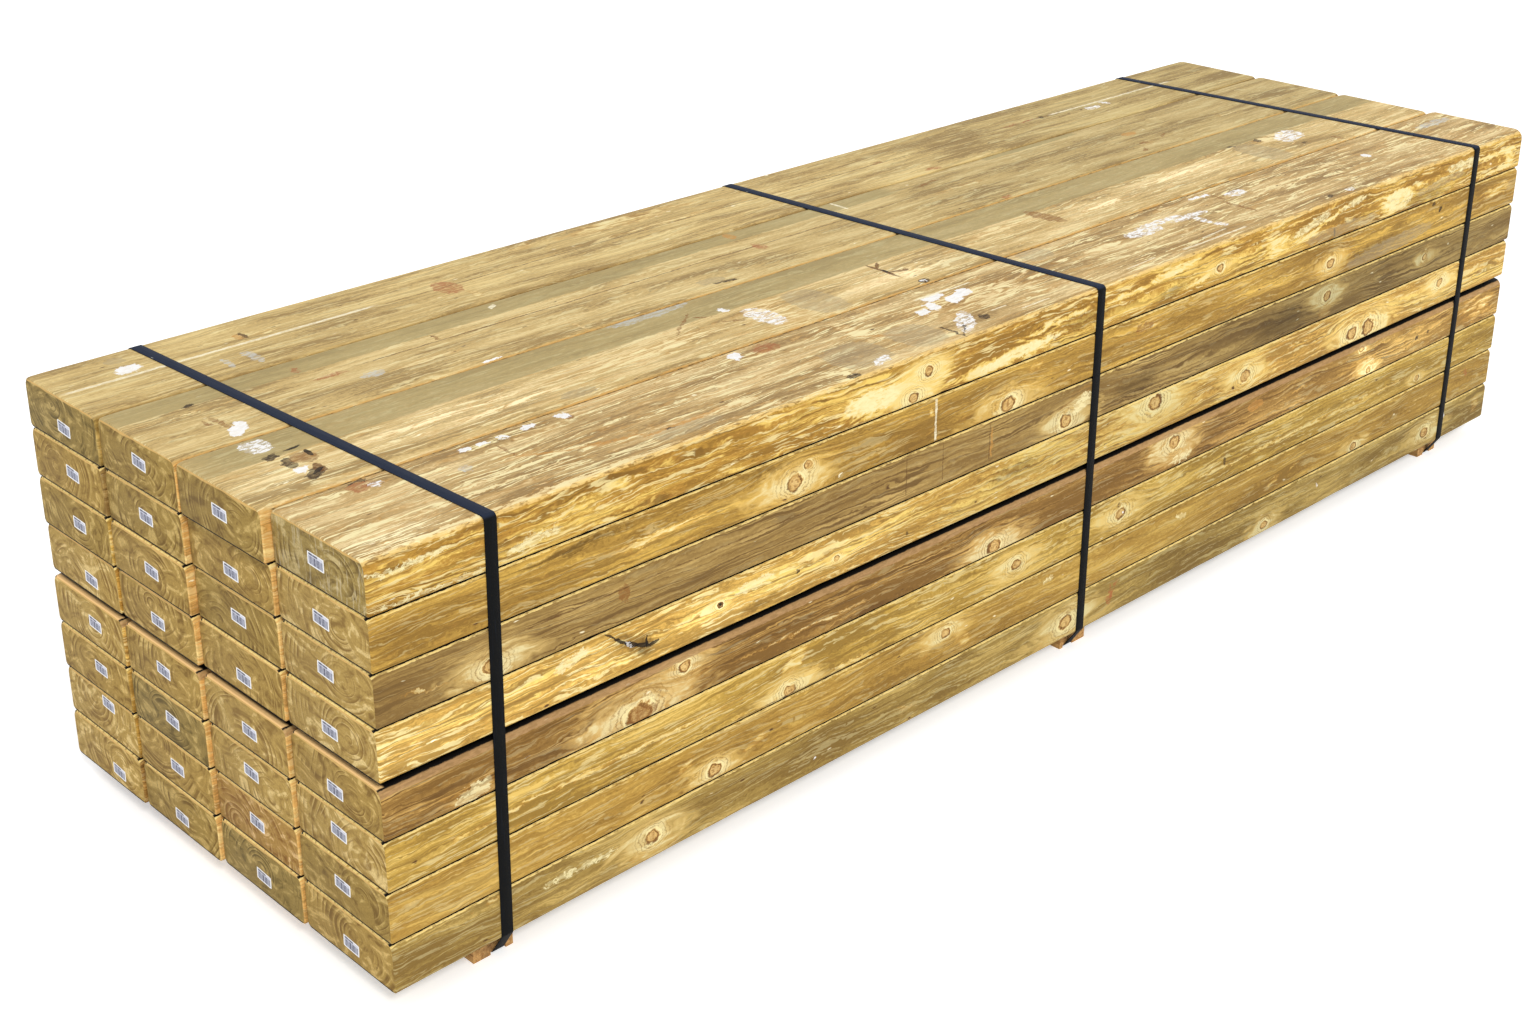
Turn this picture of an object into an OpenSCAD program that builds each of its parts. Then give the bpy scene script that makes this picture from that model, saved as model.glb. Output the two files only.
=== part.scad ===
// Strapped bundle of timber sleepers, stood on three bearers.
// The sleepers lie along X, side by side along Y and layer on layer up Z, in millimetres.
// The origin is the middle of the bundle's footprint, on the surface that the bearers stand on.
// The labelled end, from which the places along the bundle are measured, is at -X.

/* [Sleepers] */
// Length of one sleeper
sleeper_length = 2700; // [2400:50:3600]
// Width of one sleeper, across the bundle
sleeper_width = 200; // [150:5:250]
// Thickness of one sleeper
sleeper_thickness = 75; // [50:1:100]
// Radius of a sleeper's rounded long edges
arris_radius = 6; // [4:0.5:12]
// Gap between two sleepers of a layer
side_gap = 2; // [0.5:0.5:5]
// Most that a sleeper's end stands out from or behind the bundle's mean end
end_stagger = 8; // [0:1:15]

/* [Stack] */
// Sleepers side by side in a layer
columns = 4; // [3:1:5]
// Layers below the separators
lower_layers = 4; // [2:1:5]
// Layers above the separators
upper_layers = 4; // [2:1:5]

/* [Separators] */
// Thickness of a separator, which is the height of the gap that it holds open
separator_thickness = 8; // [5:1:20]
// Width of a separator along the bundle
separator_width = 45; // [30:1:80]
// How far a separator's ends lie behind the bundle's long sides
separator_recess = 40; // [5:1:80]

/* [Bearers] */
// Thickness of a bearer
bearer_thickness = 35; // [25:1:75]
// Width of a bearer along the bundle
bearer_width = 65; // [60:1:100]
// How far a bearer's ends lie behind the bundle's long sides
bearer_recess = 22; // [15:1:40]
// Radius of the bearer's lower end corner inside the groove
bearer_corner_radius = 4; // [2:0.5:8]

/* [Straps] */
// Width of a strap
strap_width = 19; // [12:1:25]
// Thickness of a strap
strap_thickness = 1; // [0.6:0.1:1.5]
// Clearance between a strap and what it is pulled round
strap_clearance = 0.2; // [0.1:0.1:0.3]
// Clearance beside the strap in a bearer's groove
groove_side_clearance = 3; // [1:0.5:5]
// Clearance between the strap and the surface that the bearers stand on
ground_clearance = 1.5; // [0.5:0.5:3]
// Distance of the near strap's middle from the labelled end
strap_near_inset = 180; // [100:5:400]
// Distance of the middle strap's middle from the bundle's middle, away from the labelled end
strap_middle_shift = 25; // [-200:5:200]
// Distance of the far strap's middle from the plain end
strap_far_inset = 170; // [100:5:400]
// How far the near strap's near upper corner leans away from the labelled end
strap_near_drift = 8; // [0:1:20]
// How far the near strap's far upper corner leans towards the labelled end
strap_near_lean = 20; // [0:5:60]
// How far the middle strap's far upper corner leans towards the labelled end
strap_middle_lean = 50; // [0:5:60]
// How far the far strap's far upper corner leans towards the labelled end
strap_far_lean = 60; // [0:5:60]
// Length of the welded lap that joins a strap's two ends
lap_length = 70; // [40:5:120]
// Length of the step where the outer end rises over the inner one
lap_step = 8; // [4:1:15]
// Height of the lap's middle above the ground, on the far long side
lap_height = 420; // [200:10:500]

/* [Labels] */
// Width of a label
label_width = 35; // [20:1:60]
// Height of a label
label_height = 18; // [12:1:40]
// Thickness of a label
label_thickness = 0.3; // [0.2:0.1:0.5]

/* [Hidden] */
PLACES = ["near", "middle", "far"];
layers = lower_layers + upper_layers;

timber = "BurlyWood";
rough_timber = "Peru";
strap_black = [0.09, 0.10, 0.11];
label_white = "WhiteSmoke";

// A true circle needs more sides than a polygon would have
$fn = 48;

column_pitch = sleeper_width + side_gap;
stack_width = columns * column_pitch - side_gap;
half_width = stack_width / 2;
gap_bottom = bearer_thickness + lower_layers * sleeper_thickness;
stack_top = gap_bottom + separator_thickness + upper_layers * sleeper_thickness;
near_end = -sleeper_length / 2;
far_end = sleeper_length / 2;
strap_places = [near_end + strap_near_inset, strap_middle_shift, far_end - strap_far_inset];
strap_drifts = [strap_near_drift, 0, 0];
strap_leans = [strap_near_lean, strap_middle_lean, strap_far_lean];

// How far each bearer's middle lies from its strap's, away from the labelled end
bearer_offsets = [-8, 12, 0];

// How far a cut runs past the face that it opens
cut_margin = 1;
// Chords in the strap's bends
upper_bend_chords = 8;
lower_bend_chords = 4;
corner_bend_chords = 5;

groove_depth = ground_clearance + strap_thickness + strap_clearance;
groove_width = strap_width + 2 * groove_side_clearance;
bearer_half_length = half_width - bearer_recess;

// Share of end_stagger that each sleeper is pushed towards the labelled end.
// A row is a layer, from the bottom one up, and runs from the near long side to the far one.
end_pushes = [
    [-0.6, -0.2, 0.4, 0.8],
    [-0.6, -0.3, 0.4, 0.7],
    [-0.8, -0.2, 0.5, 0.9],
    [-0.8, -0.1, 0.5, 0.9],
    [-0.8, -0.4, 0.4, 0.7],
    [-1.0, -0.6, 0.7, 1.0],
    [-1.0, -0.4, 0.5, 1.0],
    [-1.0, 0.5, 0.6, 1.0]
];

// Share of the spare room round a label that it lies off the middle of its sleeper's end.
// The first number is across the bundle, the second is upwards, in the same order as above.
label_places = [
    [[-0.05, -0.45], [-0.05, -0.35], [0, -0.4], [-0.35, -0.5]],
    [[0.05, 0], [0, 0], [-0.05, -0.1], [-0.25, 0.7]],
    [[0.05, 0.15], [0, 0.1], [-0.1, 0], [-0.2, 0.1]],
    [[0.05, -0.3], [-0.1, -0.2], [0, 0], [-0.2, 0]],
    [[0.05, -0.2], [-0.05, -0.4], [0, -0.25], [-0.25, -0.4]],
    [[0.05, 0.05], [-0.05, 0], [-0.05, -0.15], [-0.15, -0.1]],
    [[0.05, -0.1], [0, -0.35], [-0.05, 0], [-0.15, 0]],
    [[0.05, 0], [0, 0], [-0.05, 0.15], [-0.05, -0.35]]
];

function cycled(list, index) = list[index % len(list)];

function layer_bottom(layer) =
    bearer_thickness + (layer - 1) * sleeper_thickness
    + (layer > lower_layers ? separator_thickness : 0);

function column_middle(column) = -half_width + sleeper_width / 2 + (column - 1) * column_pitch;

function end_push(layer, column) = end_stagger * cycled(cycled(end_pushes, layer - 1), column - 1);

function on_circle(centre, radius, angle) = centre + radius * [cos(angle), sin(angle)];

// Points of an arc that runs anticlockwise. Only its two ends lie on the true circle, and the
// lines between the points touch it, so that a strap never cuts into what it is bent round.
function arc_points(centre, radius, from, to, steps) =
    let (
        step = (to - from) / steps,
        outer = radius / cos(step / 2)
    )
    concat(
        [on_circle(centre, radius, from)],
        [for (i = [0:steps - 1]) on_circle(centre, outer, from + (i + 0.5) * step)],
        [on_circle(centre, radius, to)]
    );

// Section of a sleeper: two crossed rectangles with a quarter circle in each corner
module sleeper_section() {
    inner_width = sleeper_width - 2 * arris_radius;
    inner_thickness = sleeper_thickness - 2 * arris_radius;
    translate([-inner_width / 2, 0])
        square([inner_width, sleeper_thickness]);
    translate([-sleeper_width / 2, arris_radius])
        square([sleeper_width, inner_thickness]);
    for (side = [-1, 1], height = [arris_radius, sleeper_thickness - arris_radius])
        translate([side * inner_width / 2, height])
            circle(r = arris_radius);
}

// Lays a drawing in Y and Z out along X, with its middle at the given place
module along_bundle(middle, length) {
    translate([middle - length / 2, 0, 0])
        rotate([90, 0, 90])
            linear_extrude(length)
                children();
}

module sleepers_layer(layer) {
    color(timber)
        for (column = [1:columns])
            translate([0, column_middle(column), layer_bottom(layer)])
                along_bundle(-end_push(layer, column), sleeper_length)
                    sleeper_section();
}

// Line of a strap's inner face: round the upper arrises, down the long sides, and from the
// lower arrises inwards and down to the bearer's end corners and through its groove.
upper_arris = [half_width - arris_radius, stack_top - arris_radius];
lower_arris = [half_width - arris_radius, bearer_thickness + arris_radius];
bearer_corner = [bearer_half_length - bearer_corner_radius, groove_depth + bearer_corner_radius];
slant = lower_arris - bearer_corner;
radius_step = arris_radius - bearer_corner_radius;
slant_angle = atan2(slant.x, slant.y) + asin(radius_step / norm(slant));
strap_outer = half_width + strap_clearance + strap_thickness;

function strap_line(offset) =
    let (
        side = concat(
            arc_points(bearer_corner, bearer_corner_radius + offset, -90, -slant_angle,
                corner_bend_chords),
            arc_points(lower_arris, arris_radius + offset, -slant_angle, 0,
                lower_bend_chords),
            arc_points(upper_arris, arris_radius + offset, 0, 90,
                upper_bend_chords)
        )
    )
    concat(side, [for (i = [len(side) - 1:-1:0]) [-side[i].x, side[i].y]]);

module strap_loop() {
    difference() {
        polygon(strap_line(strap_clearance + strap_thickness));
        polygon(strap_line(strap_clearance));
    }
}

// All that lies past the given corner, away from the near long side and from the ground
module past(corner) {
    translate(corner)
        square([2 * stack_width, stack_top]);
}

// Outline of a strap's straight run, which leans towards the labelled end from low to high
module leaning_run(low, high, lean) {
    half = strap_width / 2;
    polygon([[-half, low], [half, low], [half - lean, high], [-half - lean, high]]);
}

// A layer of strap against a long side, from the lower arris to the upper one. It reaches from
// the given place across the bundle towards the near side by its thickness.
module side_run(middle, across, thickness, lean) {
    translate([middle, across, 0])
        rotate([90, 0, 0])
            linear_extrude(thickness)
                leaning_run(lower_arris.y, upper_arris.y, lean);
}

// The outer end of a strap, welded on top of the inner end where they overlap
module lap_section() {
    low = lap_height - lap_length / 2;
    high = lap_height + lap_length / 2;
    polygon([
        [strap_outer - strap_thickness / 2, low],
        [strap_outer + strap_thickness, low],
        [strap_outer + strap_thickness, high],
        [strap_outer, high + lap_step],
        [strap_outer - strap_thickness / 2, high + lap_step]
    ]);
}

// A strap drifts away from the labelled end as it rises on the near long side, and leans back
// towards it over the top and down the far side
module strap(place) {
    middle = strap_places[place];
    drift = strap_drifts[place];
    lean = strap_leans[place];
    color(strap_black) {
        along_bundle(middle, strap_width)
            difference() {
                strap_loop();
                past([-stack_width, lower_arris.y]);
            }
        side_run(middle, strap_thickness - strap_outer, strap_thickness, -drift);
        along_bundle(middle + drift, strap_width)
            intersection() {
                strap_loop();
                mirror([1, 0])
                    past(upper_arris);
            }
        translate([middle + drift, 0, stack_top + strap_clearance])
            linear_extrude(strap_thickness)
                leaning_run(-upper_arris.x, upper_arris.x, drift + lean);
        along_bundle(middle - lean, strap_width)
            intersection() {
                strap_loop();
                past(upper_arris);
            }
        side_run(middle, strap_outer, strap_thickness, lean);
        intersection() {
            side_run(middle, strap_outer + 2 * strap_thickness, 3 * strap_thickness, lean);
            along_bundle(middle, 2 * (strap_width + lean))
                lap_section();
        }
    }
}

// What the strap needs free under and beside the bearer
module groove_section() {
    corner = bearer_corner_radius;
    difference() {
        translate([-bearer_half_length - cut_margin, -cut_margin])
            square([2 * (bearer_half_length + cut_margin), groove_depth + corner + cut_margin]);
        translate([-bearer_half_length + corner, groove_depth])
            square([2 * (bearer_half_length - corner), corner + cut_margin]);
        for (side = [-1, 1])
            translate([side * bearer_corner.x, bearer_corner.y])
                circle(r = corner);
    }
}

module bearer(place) {
    color(rough_timber)
        difference() {
            along_bundle(strap_places[place] + bearer_offsets[place], bearer_width)
                translate([-bearer_half_length, 0])
                    square([2 * bearer_half_length, bearer_thickness]);
            along_bundle(strap_places[place], groove_width)
                groove_section();
        }
}

module separator(place) {
    length = stack_width - 2 * separator_recess;
    color(rough_timber)
        translate([strap_places[place] - separator_width / 2, -length / 2, gap_bottom])
            cube([separator_width, length, separator_thickness]);
}

module end_labels() {
    spare = [sleeper_width - label_width, sleeper_thickness - label_height] / 2;
    color(label_white)
        for (layer = [1:layers], column = [1:columns]) {
            shift = cycled(cycled(label_places, layer - 1), column - 1);
            middle = [
                column_middle(column) + shift.x * spare.x,
                layer_bottom(layer) + sleeper_thickness / 2 + shift.y * spare.y
            ];
            translate([
                near_end - end_push(layer, column) - label_thickness,
                middle.x - label_width / 2,
                middle.y - label_height / 2
            ])
                cube([label_thickness, label_width, label_height]);
        }
}

for (layer = [1:layers]) {
    sleepers_layer(layer);
}
for (place = [0:len(PLACES) - 1]) {
    bearer(place);
    separator(place);
    strap(place);
}
end_labels();
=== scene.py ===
import math
import random

import bpy
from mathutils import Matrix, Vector, noise


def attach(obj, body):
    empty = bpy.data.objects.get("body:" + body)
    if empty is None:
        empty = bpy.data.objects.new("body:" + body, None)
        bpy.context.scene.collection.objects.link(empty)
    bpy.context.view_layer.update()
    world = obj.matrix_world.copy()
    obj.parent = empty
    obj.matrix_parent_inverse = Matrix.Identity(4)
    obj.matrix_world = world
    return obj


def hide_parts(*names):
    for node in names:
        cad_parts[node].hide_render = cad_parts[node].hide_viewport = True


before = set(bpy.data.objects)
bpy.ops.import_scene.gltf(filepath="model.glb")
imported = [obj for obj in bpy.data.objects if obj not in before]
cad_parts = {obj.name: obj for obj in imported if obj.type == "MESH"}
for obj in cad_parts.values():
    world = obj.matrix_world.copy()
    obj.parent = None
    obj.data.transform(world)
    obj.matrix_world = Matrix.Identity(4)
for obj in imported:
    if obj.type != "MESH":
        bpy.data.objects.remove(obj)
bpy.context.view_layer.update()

MM = 0.001

# Sizes of the bundle in millimetres, as in the part's source
LENGTH, WIDTH, THICKNESS = 2700, 200, 75
COLUMNS, LAYERS, LOWER_LAYERS = 4, 8, 4
PITCH = 202
HALF_WIDTH = 403
BEARER_THICKNESS = 35
SEPARATOR_THICKNESS = 8
ARRIS = 6
END_STAGGER = 8
END_PUSHES = [
    [-0.6, -0.2, 0.4, 0.8],
    [-0.6, -0.3, 0.4, 0.7],
    [-0.8, -0.2, 0.5, 0.9],
    [-0.8, -0.1, 0.5, 0.9],
    [-0.8, -0.4, 0.4, 0.7],
    [-1.0, -0.6, 0.7, 1.0],
    [-1.0, -0.4, 0.5, 1.0],
    [-1.0, 0.5, 0.6, 1.0],
]
LABEL_SIZE = (35, 18, 0.3)
LABEL_PLACES = [
    [(-0.05, -0.45), (-0.05, -0.35), (0, -0.4), (-0.35, -0.5)],
    [(0.05, 0), (0, 0), (-0.05, -0.1), (-0.25, 0.7)],
    [(0.05, 0.15), (0, 0.1), (-0.1, 0), (-0.2, 0.1)],
    [(0.05, -0.3), (-0.1, -0.2), (0, 0), (-0.2, 0)],
    [(0.05, -0.2), (-0.05, -0.4), (0, -0.25), (-0.25, -0.4)],
    [(0.05, 0.05), (-0.05, 0), (-0.05, -0.15), (-0.15, -0.1)],
    [(0.05, -0.1), (0, -0.35), (-0.05, 0), (-0.15, 0)],
    [(0.05, 0), (0, 0), (-0.05, 0.15), (-0.05, -0.35)],
]
STACK_TOP = BEARER_THICKNESS + LAYERS * THICKNESS + SEPARATOR_THICKNESS
STRAP_MIDDLES = {"near": -1170, "middle": 25, "far": 1180}
STRAP_DRIFTS = {"near": 8, "middle": 0, "far": 0}
STRAP_LEANS = {"near": 20, "middle": 50, "far": 60}
STRAP_WIDTH, STRAP_THICKNESS, STRAP_CLEARANCE = 19, 1.0, 0.2
LAP_LENGTH, LAP_STEP, LAP_HEIGHT = 70, 8, 420
GROUND_CLEARANCE = 1.5
BEARER_HALF_LENGTH, BEARER_CORNER = 381, 4

# Where the faces of a sleeper begin on its unrolled girth: the near side from 0 up, the top
# from 75, the far side from 275 down, and the underside on both sides of the seam below
TOP_START = THICKNESS
FAR_START = THICKNESS + WIDTH
GIRTH_END = FAR_START + THICKNESS


def layer_bottom(layer):
    lifted = SEPARATOR_THICKNESS if layer > LOWER_LAYERS else 0
    return BEARER_THICKNESS + (layer - 1) * THICKNESS + lifted


def column_middle(column):
    return -HALF_WIDTH + WIDTH / 2 + (column - 1) * PITCH


def near_end(layer, column):
    return -LENGTH / 2 - END_STAGGER * END_PUSHES[layer - 1][column - 1]


def srgb(red, green, blue):
    """Linear colour of an 8-bit screen colour."""
    def linear(v):
        v /= 255
        return v / 12.92 if v <= 0.04045 else ((v + 0.055) / 1.055) ** 2.4
    return (linear(red), linear(green), linear(blue), 1.0)


class Tree:
    """Short words for building a node tree."""

    def __init__(self, tree):
        self.tree = tree

    def node(self, kind, sockets=(), **settings):
        made = self.tree.nodes.new("ShaderNode" + kind)
        for name, value in settings.items():
            setattr(made, name, value)
        for name, value in dict(sockets).items():
            self.put(made.inputs[name], value)
        return made

    def put(self, socket, value):
        if isinstance(value, bpy.types.NodeSocket):
            self.tree.links.new(value, socket)
        else:
            socket.default_value = value

    def math(self, operation, *values, clamp=False):
        made = self.node("Math", operation=operation, use_clamp=clamp)
        for socket, value in zip(made.inputs, values):
            self.put(socket, value)
        return made.outputs[0]

    def add(self, first, *others):
        for other in others:
            first = self.math("ADD", first, other)
        return first

    def product(self, first, *others):
        for other in others:
            first = self.math("MULTIPLY", first, other)
        return first

    def swing(self, value, reach):
        """A noise value as a swing about zero."""
        return self.math("MULTIPLY_ADD", value, reach, -reach / 2)

    def vector(self, operation, *values, out=0):
        made = self.node("VectorMath", operation=operation)
        for socket, value in zip(made.inputs, values):
            self.put(socket, value)
        return made.outputs[out]

    def length(self, value):
        return self.vector("LENGTH", value, out="Value")

    def dot(self, first, second):
        return self.vector("DOT_PRODUCT", first, second, out="Value")

    def scaled(self, value, *factors):
        return self.vector("MULTIPLY", value, factors)

    def noise(self, vector, detail=2.0, roughness=0.5, distortion=0.0, out=0):
        return self.node(
            "TexNoise",
            {"Vector": vector, "Scale": 1.0, "Detail": detail, "Roughness": roughness,
             "Distortion": distortion},
        ).outputs[out]

    def blots(self, place, sizes, *settings, **more):
        """Noise whose blots have the given sizes along the axes, the last of them 1 if left out."""
        factors = [1 / size for size in (*sizes, 1)[:3]]
        return self.noise(self.scaled(place, *factors), *settings, **more)

    def step(self, value, low, high, to_low=0.0, to_high=1.0):
        """Smooth step from to_low at low to to_high at high."""
        made = self.node("MapRange", interpolation_type="SMOOTHSTEP")
        for name, v in (("Value", value), ("From Min", low), ("From Max", high),
                        ("To Min", to_low), ("To Max", to_high)):
            self.put(made.inputs[name], v)
        return made.outputs[0]

    def window(self, value, *edges):
        """1 between two smooth edges, which are given as where each starts and ends."""
        return self.product(self.step(value, *edges[:2]), self.step(value, *edges[2:]))

    def ridge(self, value, width):
        """1 along the lines where a noise value crosses its middle, and 0 beside them."""
        away = self.math("ABSOLUTE", self.math("SUBTRACT", value, 0.5))
        return self.step(away, width, width * 0.3)

    def mix(self, factor, a, b, blend="MIX"):
        made = self.node("Mix", data_type="RGBA", blend_type=blend, clamp_factor=True)
        self.put(made.inputs[0], factor)
        self.put(made.inputs[6], a)
        self.put(made.inputs[7], b)
        return made.outputs[2]

    def uv(self, name):
        return self.node("UVMap", uv_map=name).outputs[0]

    def log(self):
        """The place from the heart of a sleeper's log, in millimetres."""
        found = self.node("Attribute", attribute_name="log", attribute_type="GEOMETRY")
        return found.outputs["Vector"]

    def split(self, vector):
        return self.node("SeparateXYZ", {"Vector": vector}).outputs

    def join(self, x, y, z=0.0):
        return self.node("CombineXYZ", {"X": x, "Y": y, "Z": z}).outputs[0]

    def group(self, tree, sockets):
        made = self.node("Group")
        made.node_tree = tree
        for name, value in sockets.items():
            self.put(made.inputs[name], value)
        return made.outputs


def new_group(name, inputs, outputs):
    group = bpy.data.node_groups.new(name, "ShaderNodeTree")
    kinds = {"v": "NodeSocketVector", "f": "NodeSocketFloat", "c": "NodeSocketColor"}
    for socket_name, kind in inputs.items():
        group.interface.new_socket(socket_name, in_out="INPUT", socket_type=kinds[kind])
    for socket_name, kind in outputs.items():
        group.interface.new_socket(socket_name, in_out="OUTPUT", socket_type=kinds[kind])
    entry = group.nodes.new("NodeGroupInput").outputs
    leave = group.nodes.new("NodeGroupOutput").inputs
    return group, Tree(group), [entry[name] for name in inputs], leave


def new_material(name):
    material = bpy.data.materials.new(name)
    material.use_nodes = True
    nodes = material.node_tree.nodes
    return material, Tree(material.node_tree), nodes["Principled BSDF"]


def finish_surface(t, shader, color, roughness, gloss, height, depth):
    """Gives a shader its colour, roughness, specular level and a bump so many millimetres deep."""
    bump = t.node("Bump", {"Height": height, "Distance": depth * MM, "Strength": 1.0})
    for name, value in (("Base Color", color), ("Roughness", roughness),
                        ("Specular IOR Level", gloss), ("Normal", bump.outputs[0])):
        t.put(shader.inputs[name], value)


# Knots and patches take their parts of a vector by dot products. A separated vector would be
# held for each of them until all had been started, and a shader holds few values at a time.
def knot_group():
    """One knot: how it bends the fibres round itself, the distances that shape its core and its
    halo, and the dark part of its rim."""
    group, t, (face, centre, radius, wobble), leave = new_group(
        "knot",
        {"Face": "v", "Centre": "v", "Radius": "f", "Wobble": "v"},
        {"Shift": "f", "Round": "f", "Wide": "f", "Rim": "f"},
    )
    off = t.vector("SUBTRACT", face, centre)
    reach = t.vector("DIVIDE", off, t.join(radius, radius, 1.0))
    close = t.scaled(reach, 0.2, 0.45, 0)
    bend = t.math("EXPONENT", t.product(t.dot(close, close), -1.0))
    t.put(leave["Shift"], t.product(t.dot(off, (0, 1, 0)), bend, -0.88))
    reach = t.vector("MULTIPLY_ADD", wobble, (1.5, 1.5, 0), reach)
    distance = t.length(t.scaled(reach, 0.8, 1.05, 0))
    t.put(leave["Round"], distance)
    t.put(leave["Wide"], t.length(t.scaled(reach, 0.2, 0.5, 0)))
    heading = t.dot(centre, (0.7, 0, 0))
    facing = t.join(t.math("COSINE", heading), t.math("SINE", heading))
    side = t.math("DIVIDE", t.dot(reach, facing), distance)
    ring = t.window(distance, 0.72, 0.9, 1.14, 0.98)
    t.put(leave["Rim"], t.product(ring, t.step(side, -0.2, 0.7)))
    return group


def patch_group():
    """A patch: Mask has a crisp edge and may be broken up, Soft fades out. Along and Across turn
    a distance from the centre into shares of the patch's half length and half width."""
    group, t, (place, centre, over, up, square, broken, torn), leave = new_group(
        "patch",
        {"Place": "v", "Centre": "v", "Along": "v", "Across": "v", "Square": "f", "Broken": "f",
         "Torn": "f"},
        {"Mask": "f", "Soft": "f"},
    )
    off = t.vector("SUBTRACT", place, centre)
    along = t.math("ABSOLUTE", t.dot(off, over))
    across = t.math("ABSOLUTE", t.dot(off, up))
    oval = t.length(t.join(along, across))
    boxy = t.math("MAXIMUM", along, across)
    level = t.math("MULTIPLY_ADD", t.math("SUBTRACT", boxy, oval), square, oval)
    gone = t.product(t.step(torn, 0.46, 0.54), broken)
    t.put(leave["Mask"], t.product(t.step(level, 1.04, 0.92), t.math("SUBTRACT", 1.0, gone)))
    t.put(leave["Soft"], t.step(level, 1.25, 0.35))
    return group


def paint_knots(t, color, core, rim, growth, curl, fine):
    """Knots on planed wood: growth lines and a pale border round each, then its core, the ring
    in it, its heart and the dark part of its rim."""
    growth = t.product(t.window(growth, 0.6, 0.92, 1.0, 0.95), t.step(core, 3.2, 1.4))
    color = t.mix(t.product(growth, 0.7), color, srgb(140, 94, 42))
    border = t.window(core, 0.94, 1.06, 1.5, 1.15)
    color = t.mix(t.product(border, t.step(curl, 0.4, 0.55)), color, srgb(255, 238, 176))
    color = t.mix(t.step(core, 1.02, 0.92, 0.0, 0.85), color, srgb(220, 174, 98))
    ring = t.window(core, 0.62, 0.72, 0.96, 0.84)
    color = t.mix(t.product(ring, t.step(curl, 0.36, 0.56, 0.25, 0.9)), color, srgb(122, 80, 36))
    heart = t.mix(t.step(fine, 0.35, 0.6), srgb(160, 112, 56), srgb(240, 206, 136))
    color = t.mix(t.step(core, 0.6, 0.5, 0.0, 0.8), color, heart)
    color = t.mix(t.product(rim, t.step(fine, 0.3, 0.5, 0.15, 0.7)), color, srgb(96, 60, 28))
    return color


def paint_specks(t, color, fibre):
    """A few pale and a few dark specks along the fibres."""
    cells = t.node("TexVoronoi", {"Vector": t.scaled(fibre, 1 / 34, 1 / 8, 1), "Scale": 1.0})
    chance = t.split(cells.outputs["Color"])
    spot = t.step(cells.outputs["Distance"], 0.18, 0.08)
    color = t.mix(t.product(spot, t.step(chance[0], 0.95, 0.96)), color, srgb(255, 244, 205))
    color = t.mix(t.product(spot, t.step(chance[1], 0.965, 0.97)), color, srgb(96, 66, 38))
    return color


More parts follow.
